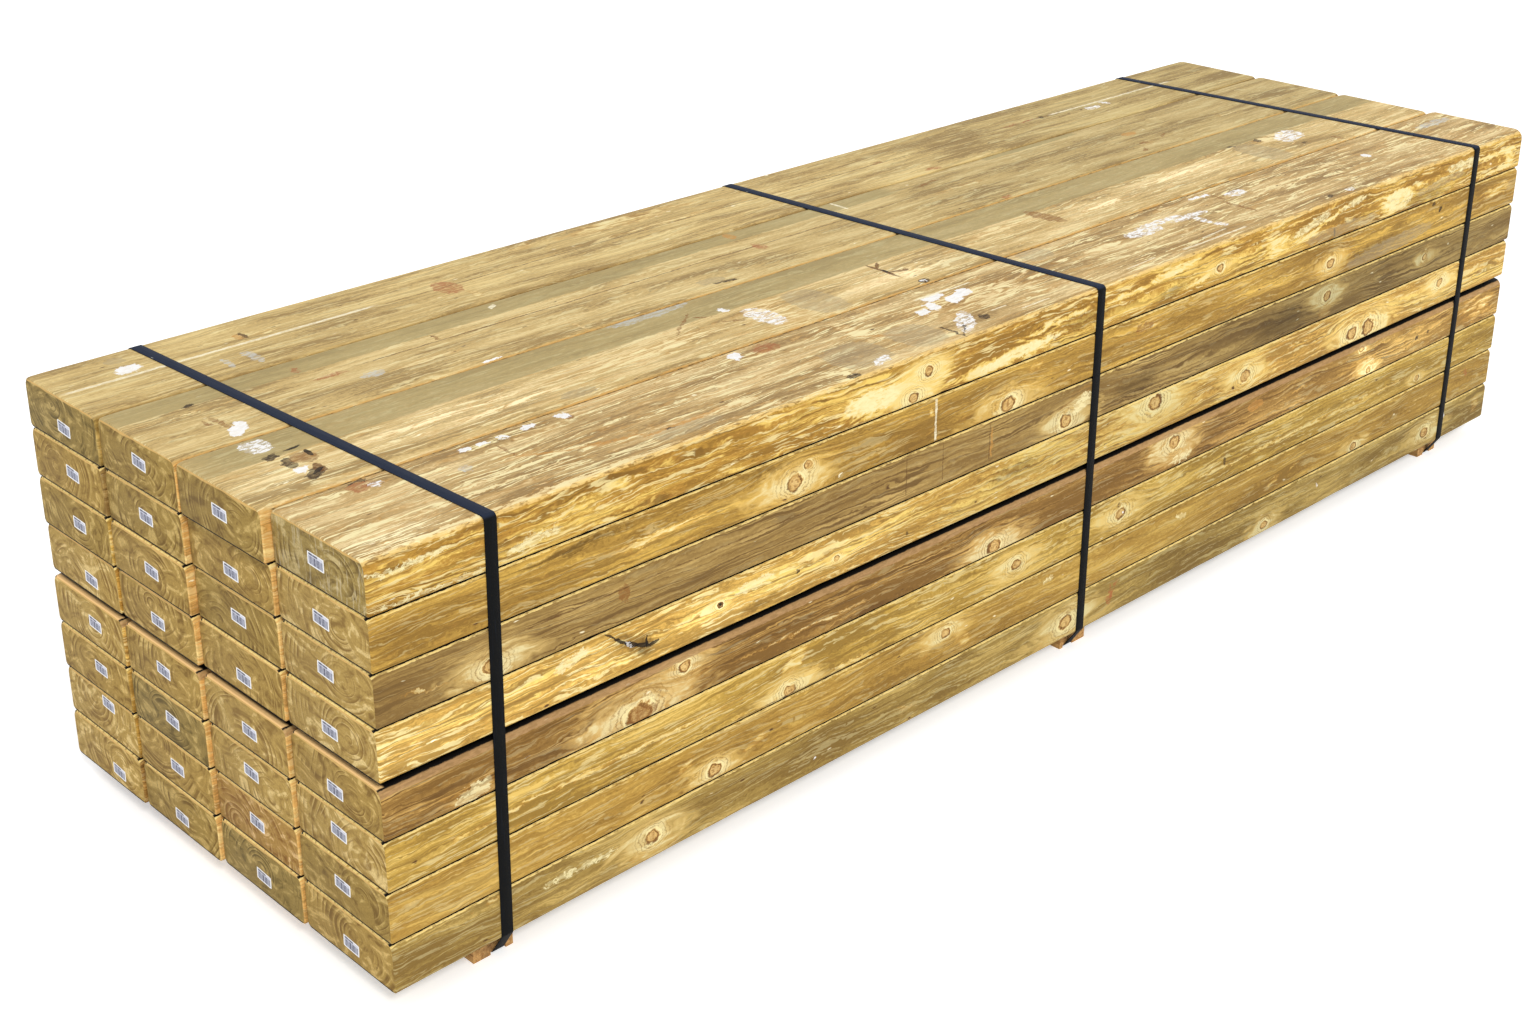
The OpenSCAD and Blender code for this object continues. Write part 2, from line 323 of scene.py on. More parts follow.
def planed_group():
    """Planed wood: streaks, growth lines, cream flames and knots. Fibre is a place on the
    unrolled sleeper in millimetres, with the sleeper's own start in the log."""
    group, t, sockets, leave = new_group(
        "planed_wood",
        {"Fibre": "v", "Shift": "f", "Round": "f", "Wide": "f", "Rim": "f", "Tint": "c",
         "Bright": "c", "Cream": "f", "Grain": "f", "Lines": "f", "Contrast": "f"},
        {"Color": "c"},
    )
    source, shift, core, wide, rim, tint, bright, creamy, grain, lined, contrast = sockets
    slow = t.blots(source, (420, 60), 2.0)
    swirl = t.blots(source, (50, 16), 3.0, 0.6)
    place = t.split(source)
    across = t.add(place[1], shift, t.swing(slow, 44.0), t.swing(swirl, 14.0))
    fibre = t.join(place[0], across)
    fine = t.blots(fibre, (9, 1.8), 3.0, 0.65)
    streak = t.blots(fibre, (120, 5.5), 4.0, 0.66)
    tone = t.blots(fibre, (240, 30), 3.0, 0.55)
    flame = t.blots(fibre, (95, 16), 3.0, 0.55, 2.2)
    curl = t.blots(fibre, (16, 13), 3.0)
    wing = t.add(wide, t.swing(flame, 2.8), t.swing(streak, 0.6))
    halo = t.step(wing, 1.05, 0.45)

    level = t.add(t.swing(tone, 2.2), t.swing(streak, 1.7), t.swing(fine, 1.2), t.swing(slow, 1.8))
    level = t.math("MULTIPLY_ADD", level, contrast, 0.5, clamp=True)
    deep = t.mix(0.5, tint, srgb(92, 58, 18))
    color = t.mix(t.step(level, 0.0, 0.5), deep, tint)
    color = t.mix(t.step(level, 0.5, 1.0), color, bright)

    phase = t.math("FRACT", t.add(t.product(across, 1 / 8.5), t.swing(tone, 4.0)))
    late = t.window(phase, 0.3, 0.88, 1.0, 0.93)
    late = t.product(late, t.step(streak, 0.34, 0.6, 0.25, 0.8), grain)
    color = t.mix(late, color, deep)
    rings = t.ridge(t.blots(fibre, (520, 13), 2.0), 0.045)
    rings = t.product(rings, t.step(tone, 0.36, 0.56), grain)
    color = t.mix(rings, color, t.mix(0.7, tint, srgb(78, 46, 18)))

    # Cream flames: partly pale wood, partly a painted highlight of glare along the grain
    edge = t.math("MULTIPLY_ADD", creamy, -0.38, 0.82)
    torn = t.add(flame, t.swing(streak, 0.4), t.swing(fine, 0.1), t.swing(curl, 0.14))
    gold = t.product(t.step(torn, t.math("SUBTRACT", edge, 0.14), edge), t.step(creamy, 0.0, 0.5))
    color = t.mix(t.product(gold, 0.4), color, srgb(196, 142, 62))
    cream = t.step(torn, t.math("SUBTRACT", edge, 0.03), t.add(edge, 0.12))
    palest = t.mix(0.65, bright, srgb(255, 246, 192))
    pale = t.mix(t.step(torn, t.add(edge, 0.08), t.add(edge, 0.26)), bright, palest)
    color = t.mix(t.product(cream, 0.92), color, pale)
    lines = t.ridge(t.blots(fibre, (300, 11), 2.0), 0.04)
    lines = t.product(lines, lined, t.step(flame, 0.44, 0.52))
    color = t.mix(lines, color, palest)

    warm = t.mix(0.4, bright, srgb(255, 218, 136))
    color = t.mix(t.step(wing, 1.7, 0.8, 0.0, 0.75), color, warm)
    color = t.mix(t.product(halo, t.step(streak, 0.34, 0.54, 0.4, 0.95)), color, palest)
    growth = t.math("FRACT", t.math("MULTIPLY_ADD", core, 2.2, t.swing(swirl, 2.0)))
    color = paint_knots(t, color, core, rim, growth, curl, fine)
    t.put(leave["Color"], paint_specks(t, color, fibre))
    return group


# Looks of the marks: colour, strength, raggedness in mm, squareness, how far they are broken up
MARK_LOOKS = {
    "white": (srgb(255, 255, 255), 0.95, 30, 0.3, 0.8),
    "paint": (srgb(255, 255, 255), 0.97, 30, 0.5, 0.15),
    "blue": (srgb(206, 210, 208), 0.65, 30, 0.2, 0.6),
    "line": (srgb(255, 246, 214), 0.85, 6, 1.0, 0.4),
    "check": (srgb(100, 68, 34), 0.75, 6, 1.0, 0.5),
    "band": (srgb(168, 152, 104), 0.75, 10, 1.0, 0.15),
    "grey": (srgb(172, 156, 124), 0.5, 24, 0.4, 0.3),
    "dark": (srgb(52, 36, 26), 0.9, 26, 0.0, 0.3),
    "brown": (srgb(142, 94, 44), 0.75, 26, 0.0, 0.4),
    "rust": (srgb(172, 100, 60), 0.7, 30, 0.1, 0.6),
    "amber": (srgb(204, 148, 74), 0.75, 18, 0.2, 0.4),
    # glow is a painted highlight: pale patches that stand in for glare on the wood
    "glow": (srgb(255, 244, 190), 0.75, 34, 0.1, 0.6),
    "crack": (srgb(38, 28, 20), 0.95, 8, 0.0, 0.1),
    "scar": (srgb(112, 72, 34), 0.9, 12, 0.0, 0.2),
}
# Soft looks, which darken or lighten what lies below them: factors, raggedness, squareness
SOFT_LOOKS = {
    "shade": ((0.84, 0.85, 0.84, 1), 10, 0.5),
    "stain": ((0.62, 0.6, 0.58, 1), 40, 0.1),
    "shine": ((1.2, 1.24, 1.25, 1), 10, 0.5),
    "bloom": ((1.17, 1.22, 1.35, 1), 40, 0.3),
}
# Marks that bring out the cream flames instead, partly pale wood and partly painted highlight:
# strength, raggedness, squareness
CREAM_LOOKS = {"cream": (0.8, 26, 0.1), "slab": (0.55, 10, 0.9)}
# The painted highlight along the near upper arris of each top sleeper: how far it reaches on to the
# top, its strength and its colour, and the strength of the painted shade in the seam beside it
TOP_ARRISES = [
    (5, 0.8, srgb(244, 208, 130), 0.0),
    (3.0, 0.85, srgb(214, 168, 96), 0.9),
    (2.5, 0.8, srgb(216, 176, 106), 0.6),
    (0.5, 0.3, srgb(206, 172, 110), 0.4),
]
# Painted shade: dark for the seams between sleepers, near-black for the gap that the separators hold
SEAM_SHADE = srgb(16, 9, 4)
GAP_SHADE = srgb(13, 10, 8)


def tones(tint, bright, cream=0.3, grain=0.6, contrast=1.0, lines=0.3):
    return dict(Tint=srgb(*tint), Bright=srgb(*bright), Cream=cream, Grain=grain, Contrast=contrast,
                Lines=lines)


def blended(t, factor, first, second):
    """The tones of two faces, blended by a mask."""
    found = {}
    for name, value in first.items():
        join = t.mix if isinstance(value, tuple) else lambda f, a, b: t.step(f, 0.0, 1.0, a, b)
        found[name] = join(factor, value, second[name])
    return found


def paint_arris_light_and_shade(t, color, x, girth, torn, layer, column):
    """Painted highlight on upper arrises, painted shade in the seams and in the separators' gap."""
    rough = t.swing(torn, 5.0)
    rise = t.add(t.math("MINIMUM", t.math("SUBTRACT", girth, TOP_START),
                        t.math("SUBTRACT", FAR_START, girth)), rough)
    fall = t.math("MINIMUM", girth, t.math("SUBTRACT", GIRTH_END, girth))
    covered = t.window(x, 3, 14, LENGTH - 3, LENGTH - 14)
    covered = t.math("MAXIMUM", covered, t.step(rise, 9, 6))
    if layer == LAYERS:
        # Painted highlight along the near upper arris; beside another column, painted shade in the seam
        near = t.add(t.math("SUBTRACT", girth, TOP_START), rough)
        width, strength, paint, dark = TOP_ARRISES[column - 1]
        edge = t.product(t.step(near, -5, -3), t.step(near, width, width - 2),
                         t.step(torn, 0.38, 0.56, 0.0, strength))
        color = t.mix(edge, color, paint)
        if column > 1:
            seam = t.product(t.step(girth, TOP_START - 0.8, TOP_START - 2.5), t.step(x, 12, 20))
            seam = t.product(seam, t.step(torn, 0.36, 0.6, dark, dark * 0.3))
            color = t.mix(seam, color, SEAM_SHADE)
    elif layer == LOWER_LAYERS:
        # A pinkish band on the upper arris under the gap: partly the wood's tone, partly painted light
        # where the arris faces the sky
        band = t.mix(t.step(torn, 0.38, 0.62), srgb(168, 132, 88), srgb(190, 150, 104))
        color = t.mix(t.step(rise, -11, -10, 0.0, 0.8), color, band)
        # Painted highlight: pale on the top face near the labelled end, as if lit, where the gap's
        # shade would fall
        painted_lit_ledge = t.product(t.step(rise, 1.0, 3.5), t.step(x, 12, 7))
        color = t.mix(painted_lit_ledge, color, srgb(252, 206, 140))
        # Painted shade: near-black on the faces inside the gap; near the labelled end only deep inside
        # it
        dark = t.math("MAXIMUM", t.step(x, 6, 11), t.step(rise, 8, 5))
        color = t.mix(t.product(t.step(rise, 1.0, 3.5), dark), color, GAP_SHADE)
    else:
        # Painted highlight on the upper arris, and painted shade in the seam beyond it, which near the
        # ends keeps to the arris
        edge = t.product(t.step(rise, -2.5, -1.5), t.step(torn, 0.36, 0.56, 0.1, 0.85))
        color = t.mix(edge, color, srgb(254, 226, 146))
        color = t.mix(t.product(t.step(rise, 1.4, 2.2), covered), color, SEAM_SHADE)
    # Painted shade along the lower arris: near-black over the gap, dark in the other seams
    if layer == LOWER_LAYERS + 1:
        color = t.mix(t.step(fall, 1.5, -1.0), color, GAP_SHADE)
    elif layer > 1:
        color = t.mix(t.step(fall, 0.0, -0.8), color, SEAM_SHADE)
    return color


def timber_material(name, side, knots=(), marks=(), top=None, layer=0, column=0):
    """Planed timber with its own knots and marks. Both give a place as the distance from the
    labelled end and the place on the unrolled girth, in millimetres."""
    material, t, shader = new_material(name)
    face = t.scaled(t.uv("unrolled"), 1000, 1000, 0)
    log = t.log()
    x, girth, _ = t.split(face)
    torn = t.blots(face, (14, 6.0), 4.0, 0.65, 0.6)
    warp = t.blots(face, (17, 14), 5.0, 0.7, out="Color")
    wobble = t.vector("SUBTRACT", warp, (0.5, 0.5, 0.5))
    shift, nearest, wide, rim = 0.0, 9.0, 9.0, 0.0
    for knot_x, knot_girth, radius, strength in knots:
        out = t.group(GROUPS["knot"], {
            "Face": face, "Centre": (knot_x, knot_girth, 0), "Radius": radius, "Wobble": wobble})
        shift = t.add(shift, out["Shift"])
        nearest = t.math("MINIMUM", nearest, out["Round"])
        wide = t.math("MINIMUM", wide, t.add(out["Wide"], 1 - strength))
        rim = t.math("MAXIMUM", rim, out["Rim"])
    look = dict(side)
    if top:
        on_top = t.window(girth, TOP_START - 4, TOP_START + 2, FAR_START + 4, FAR_START - 2)
        look = blended(t, on_top, side, top)

    ragged_face = {}

    def patch(mark, ragged, square, broken):
        _, mark_x, mark_girth, half_x, half_girth, slope = mark
        if ragged not in ragged_face:
            ragged_face[ragged] = t.vector("MULTIPLY_ADD", wobble, (ragged, ragged, 0), face)
        return t.group(GROUPS["patch"], {
            "Place": ragged_face[ragged], "Centre": (mark_x, mark_girth, 0),
            "Along": (1 / half_x, 0, 0), "Across": (-slope / half_girth, 1 / half_girth, 0),
            "Square": square, "Broken": broken, "Torn": torn})

    for mark in marks:
        if mark[0] in CREAM_LOOKS:
            strength, ragged, square = CREAM_LOOKS[mark[0]]
            soft = patch(mark, ragged, square, 0.0)["Soft"]
            look["Cream"] = t.math("MULTIPLY_ADD", soft, strength, look["Cream"])
    fibre = t.join(t.split(log)[0], girth)
    color = t.group(GROUPS["planed"], {
        "Fibre": fibre, "Shift": shift, "Round": nearest, "Wide": wide, "Rim": rim, **look})["Color"]
    for mark in marks:
        if mark[0] in SOFT_LOOKS:
            factors, ragged, square = SOFT_LOOKS[mark[0]]
            color = t.mix(patch(mark, ragged, square, 0.0)["Soft"], color, factors, "MULTIPLY")
        elif mark[0] in MARK_LOOKS:
            paint, strength, ragged, square, broken = MARK_LOOKS[mark[0]]
            mask = patch(mark, ragged, square, broken)["Mask"]
            color = t.mix(t.product(mask, strength), color, paint)
    if layer:
        color = paint_arris_light_and_shade(t, color, x, girth, torn, layer, column)
    pores = t.blots(face, (30, 1.5), 2.0, 0.6)
    finish_surface(t, shader, color, 0.62, 0.15, pores, 0.45)
    return material


# Tones of the sawn ends: the colour, its shade and its light, how clear the rings are, and how
# strongly pale streaks cross them
END_TONES = {
    "o": (srgb(170, 142, 76), srgb(112, 85, 40), srgb(220, 190, 118), 0.9, 0.0),
    "b": (srgb(182, 151, 82), srgb(122, 92, 43), srgb(234, 202, 128), 0.9, 0.0),
    "g": (srgb(158, 134, 76), srgb(98, 82, 43), srgb(210, 182, 114), 0.9, 0.0),
    "p": (srgb(192, 161, 91), srgb(132, 101, 50), srgb(248, 220, 152), 0.85, 0.0),
    "w": (srgb(184, 147, 80), srgb(128, 86, 40), srgb(246, 210, 150), 0.8, 0.0),
    "s": (srgb(174, 149, 85), srgb(102, 82, 44), srgb(220, 198, 140), 0.85, 0.4),
}
# The tone of each end, a row for a layer from the lowest up, from the near column to the far one
END_KINDS = ["bgop", "owbp", "ppgb", "bpbp", "pbbp", "pobo", "pbob", "soog"]


def cut_end_material(kind):
    """Sawn end grain: rings round the pith, clouds, fine grit, a painted highlight on the upper edge,
    painted shade at the foot.
    """
    tint, shade, light, clear, streaked = END_TONES[kind]
    material, t, shader = new_material(f"cut_end_{kind}")
    x, y, z = t.split(t.log())
    depth = t.product(x, 1 / 50)
    flat = t.join(y, z, depth)
    wobble = t.blots(flat, (95, 80, 1 / 0.37), 1.0, 0.4)
    radius = t.add(t.length(t.join(y, t.product(z, 1.3))), t.swing(wobble, 34.0))
    uneven = t.noise(t.join(t.product(radius, 1 / 20), depth))
    phase = t.math("FRACT", t.add(t.product(radius, 1 / 12), t.swing(uneven, 2.8)))
    late = t.window(phase, 0.45, 0.88, 1.0, 0.94)
    early = t.window(phase, 0.0, 0.1, 0.3, 0.12)
    cloud = t.blots(flat, (60, 42, 2.5), 3.0, 0.55, 2.6)
    fade = t.blots(flat, (44, 34, 2.0), 2.0)
    grit = t.blots(flat, (2.5, 2.5), 4.0, 0.65)
    seen = t.step(fade, 0.42, 0.66, 0.08, clear)
    color = t.mix(t.step(cloud, 0.3, 0.5, 0.8, 0.0), tint, shade)
    color = t.mix(t.step(cloud, 0.53, 0.66, 0.0, 0.85), color, light)
    color = t.mix(t.product(late, seen), color, shade)
    color = t.mix(t.product(early, seen, 0.55), color, light)
    color = t.mix(t.step(grit, 0.35, 0.65, 0.3, 0.0), color, shade)
    if streaked:
        streaks = t.blots(flat, (5, 40), 3.0, 0.6)
        color = t.mix(t.step(streaks, 0.56, 0.64, 0.0, streaked), color, srgb(226, 212, 178))
    height = t.product(t.split(t.uv("unrolled"))[1], 1000)
    # Painted highlight along the upper edge of the end face
    painted_lip_highlight = t.step(t.add(height, t.swing(fade, 6.0)), 71.2, 72.4)
    color = t.mix(t.product(painted_lip_highlight, 0.8), color, srgb(232, 190, 116))
    # Painted shade along the foot of the end face, where it meets the layer below
    painted_foot_shade = t.step(t.add(height, t.swing(grit, 1.0)), 2.3, 1.3)
    color = t.mix(painted_foot_shade, color, SEAM_SHADE)
    finish_surface(t, shader, color, 0.75, 0.2, grit, 0.3)
    return material


# Spans of an arris's arc, and the spacing of stations along a sleeper: usual, hidden, worn
ARC_STEPS = 4
STATION_STEP, HIDDEN_STEP, WORN_STEP = 30, 180, 10
# The ends: their chamfer, how much more their upper arrises wear and how far in that reaches,
# and the stations that follow the wear
END_CHAMFER, END_WEAR, END_WEAR_REACH = 1.6, 5.0, 16
END_STATIONS = (END_CHAMFER, 4.0, 8.0)
# How far apart the sleepers' starts lie in the log, the angle from which an edge is shaded sharp,
# and the reach in metres of the weld that closes the seam along the underside
LOG_SPACING, SHARP_ANGLE, WELD_REACH = 3571.0, 38, 0.00001
# Deeper, rounder upper edges on the near long side, by layer: radius and depth of the nicks
WORN_EDGES = {8: (8.5, 7.0), 4: (10.0, 1.5)}


def arris_radius(layer, column, corner, x):
    """Radius of an arris: the planed one, a little uneven, with nicks where edges are exposed and
    more wear at both ends of the upper ones."""
    place = Vector((x / 160, layer * 3.7 + corner * 1.3, column * 5.1))
    worn_off = 0.0
    if corner in (1, 2):
        worn_off = END_WEAR * max(0.0, 1 - min(x, LENGTH - x) / END_WEAR_REACH) ** 2
    nick = max(0.0, noise.noise(Vector((x / 16, layer * 2.3 + corner, column * 7.7))) - 0.3)
    if column == 1 and corner == 1 and layer in WORN_EDGES:
        worn, depth = WORN_EDGES[layer]
        return worn + 1.5 * noise.noise(place) + depth * 2 * nick + worn_off
    return 6.6 + 0.6 * noise.noise(place) + 3.5 * nick + worn_off


def sleeper_profile(radii):
    """Section of a sleeper as (y, z, girth) from the middle of the underside round and back."""
    half = WIDTH / 2
    # Each corner: its side, whether it is an upper one, its girth, the first angle of its arc
    # and the number of spans from it to the next corner
    corners = [(-1, 0, 0, 270, 3), (-1, 1, TOP_START, 180, 8),
               (1, 1, FAR_START, 90, 3), (1, 0, GIRTH_END, 0, 0)]
    points = [(0.0, 0.0, -half), (-half / 2, 0.0, -half / 2)]
    spans = 0
    for (side, high, girth, start, following), r in zip(corners, radii):
        middle = (side * (half - r), THICKNESS - r if high else r)
        arc = []
        for i in range(ARC_STEPS + 1):
            angle = math.radians(start - 90 * i / ARC_STEPS)
            arc.append((middle[0] + r * math.cos(angle), middle[1] + r * math.sin(angle),
                        girth - r + 2 * r * i / ARC_STEPS))
        for i in range(1, spans):
            points.append(tuple(a + (b - a) * i / spans for a, b in zip(last, arc[0])))
        points += arc
        last, spans = arc[-1], following
    points.append((half / 2, 0.0, GIRTH_END + half / 2))
    points.append((0.0, 0.0, GIRTH_END + half))
    return points


def pith_place(layer, column, x):
    """Where the heart of the log runs in a sleeper, from the middle of its section."""
    rng = random.Random(layer * 10 + column)
    y = rng.uniform(-48, -14) if column == 1 else rng.uniform(-55, 55)
    z = rng.uniform(-14, 14) if column == 1 else rng.uniform(-30, 22)
    lean_y, lean_z = rng.uniform(-14, 14), rng.uniform(-12, 12)
    share = x / LENGTH
    return (y + lean_y * share + 6 * math.sin(share * 5),
            z + lean_z * share + 4 * math.sin(share * 7))


def hidden(layer, column):
    """Whether only a sleeper's ends show."""
    return column in (2, 3) and layer not in (1, LAYERS)


def new_mesh(name, verts, faces, uv_name, uvs):
    """A mesh with a UV map that gives each vertex one place."""
    mesh = bpy.data.meshes.new(name)
    mesh.from_pydata(verts, [], faces)
    unwrapped = mesh.uv_layers.new(name=uv_name)
    for loop in mesh.loops:
        unwrapped.data[loop.index].uv = uvs[loop.vertex_index]
    return mesh


def linked(data):
    """A new object of the scene with the name of its data."""
    made = bpy.data.objects.new(data.name, data)
    bpy.context.scene.collection.objects.link(made)
    return made


def lay_out_ends(mesh, profile):
    """Gives the two ends, a mesh's last faces, their places on the section as their UV map."""
    unwrapped = mesh.uv_layers[0].data
    for end in (mesh.polygons[-2], mesh.polygons[-1]):
        for loop in end.loop_indices:
            y, z, _ = profile[mesh.loops[loop].vertex_index % len(profile)]
            unwrapped[loop].uv = (y * MM, z * MM)


def sleeper_stations(layer, column):
    """Places along a sleeper where its section is built, closer at its ends and where it is worn."""
    step = HIDDEN_STEP if hidden(layer, column) else STATION_STEP
    if column == 1 and layer in WORN_EDGES:
        step = WORN_STEP
    inner = [float(i * step) for i in range(1, LENGTH // step)]
    outer = [LENGTH - x for x in reversed(END_STATIONS)]
    return [0.0, *END_STATIONS, *inner, *outer, float(LENGTH)]


def build_sleeper(layer, column):
    """One sleeper with uneven arrises and chamfered ends. Its unrolled UV map is in metres, and
    its log attribute gives each point's place from the heart of the log in millimetres."""
    start = near_end(layer, column)
    stations = sleeper_stations(layer, column)
    log_start = (layer * 4 + column) * LOG_SPACING
    verts, uvs, logs, faces, kinds = [], [], [], [], []
    for x in stations:
        inset = END_CHAMFER if x in (0.0, float(LENGTH)) else 0.0
        radii = [arris_radius(layer, column, corner, x) for corner in range(4)]
        profile = sleeper_profile(radii)
        pith = pith_place(layer, column, x)
        for y, z, girth in profile:
            height = (z - THICKNESS / 2) * (1 - inset / (THICKNESS / 2))
            verts.append((
                (start + x) * MM,
                (column_middle(column) + y * (1 - inset / (WIDTH / 2))) * MM,
                (layer_bottom(layer) + THICKNESS / 2 + height) * MM,
            ))
            logs += (x + log_start, y - pith[0], z - THICKNESS / 2 - pith[1])
            uvs.append((x * MM, girth * MM))
    ring = len(profile)
    for s in range(len(stations) - 1):
        for i in range(ring - 1):
            a, b = s * ring + i, (s + 1) * ring + i
            faces.append((a, b, b + 1, a + 1))
            kinds.append(0)
    last = (len(stations) - 1) * ring
    faces.append(tuple(range(ring - 1)))
    faces.append(tuple(last + i for i in range(ring - 2, -1, -1)))
    kinds += [1, 1]
    mesh = new_mesh(f"sleeper_{layer}_{column}", verts, faces, "unrolled", uvs)
    lay_out_ends(mesh, profile)
    attribute = mesh.attributes.new("log", "FLOAT_VECTOR", "POINT")
    attribute.data.foreach_set("vector", logs)
    mesh.polygons.foreach_set("material_index", kinds)
    mesh.shade_smooth()
    mesh.set_sharp_from_angle(angle=math.radians(SHARP_ANGLE))
    piece = linked(mesh)
    weld = piece.modifiers.new("weld", "WELD")
    weld.merge_threshold = WELD_REACH
    return piece


# Tones of the sleepers on the near long side, from the lowest layer up
SIDE_TONES = [
    tones((168, 140, 74), (208, 178, 104), cream=0.15, grain=0.45, contrast=1.2),
    tones((190, 150, 70), (224, 186, 98), cream=0.15, grain=0.4, contrast=1.1),
    tones((202, 164, 76), (240, 204, 112), cream=0.25, grain=0.6, contrast=1.2, lines=0.5),
    tones((160, 122, 62), (206, 164, 92), cream=0.2, grain=0.95, contrast=1.2, lines=0.2),
    tones((217, 172, 86), (250, 216, 122), cream=0.5, grain=0.8, contrast=1.4, lines=0.6),
    tones((170, 139, 80), (202, 170, 104), cream=0.1, grain=0.95, contrast=1.0, lines=0.1),
    tones((188, 148, 68), (226, 184, 88), cream=0.3, grain=0.6, contrast=1.2),
    tones((196, 150, 64), (248, 212, 112), cream=0.58, grain=0.85, contrast=1.4, lines=0.7),
]
# Tones of the sleepers inside the bundle: partly their wood, partly painted light, lighter so that the
# narrow strips showing between the columns look lit
INNER_TONES = tones((234, 184, 106), (254, 224, 150), cream=0.5, grain=0.3)

# Knots on the near long side: distance from the labelled end, height on the face, radius, halo
SIDE_KNOTS = [
    [(428, 37, 11, 1), (1330, 32, 14, 1), (1909, 17, 9, 1), (2465, 35, 12, 1)],
    [(545, 18, 11, 0.8), (1030, 52, 9, 0.9), (2195, 12, 9, 0.8)],
    [(690, 12, 10, 1), (1192, 37, 10, 1), (1462, 38, 12, 0.9), (2405, 18, 7, 0.7)],
    [(410, 14, 19, 1), (490, 55, 9, 0.8), (1135, 13, 13, 1), (1600, 50, 13, 1),
     (2182, 62, 7, 0.5), (2215, 12, 7, 1)],
    [(556, 41, 5, 0.4), (783, 33, 5, 0.6), (1535, 58, 15, 1), (1797, 33, 12, 0.9), (2140, 22, 14, 0.8),
     (2195, 20, 17, 0.8), (2445, 47, 9, 1)],
    [(172, 22, 12, 1), (1295, 20, 12, 1), (2036, 46, 10, 1), (2372, 40, 7, 0.9)],
    [(697, 30, 13, 1), (722, 48, 7, 0.6), (1152, 14, 14, 0.9), (2036, 32, 10, 0.8)],
    [(967, 45, 8, 1), (935, 11, 9, 0.9), (1690, 30, 8, 0.6)],
]

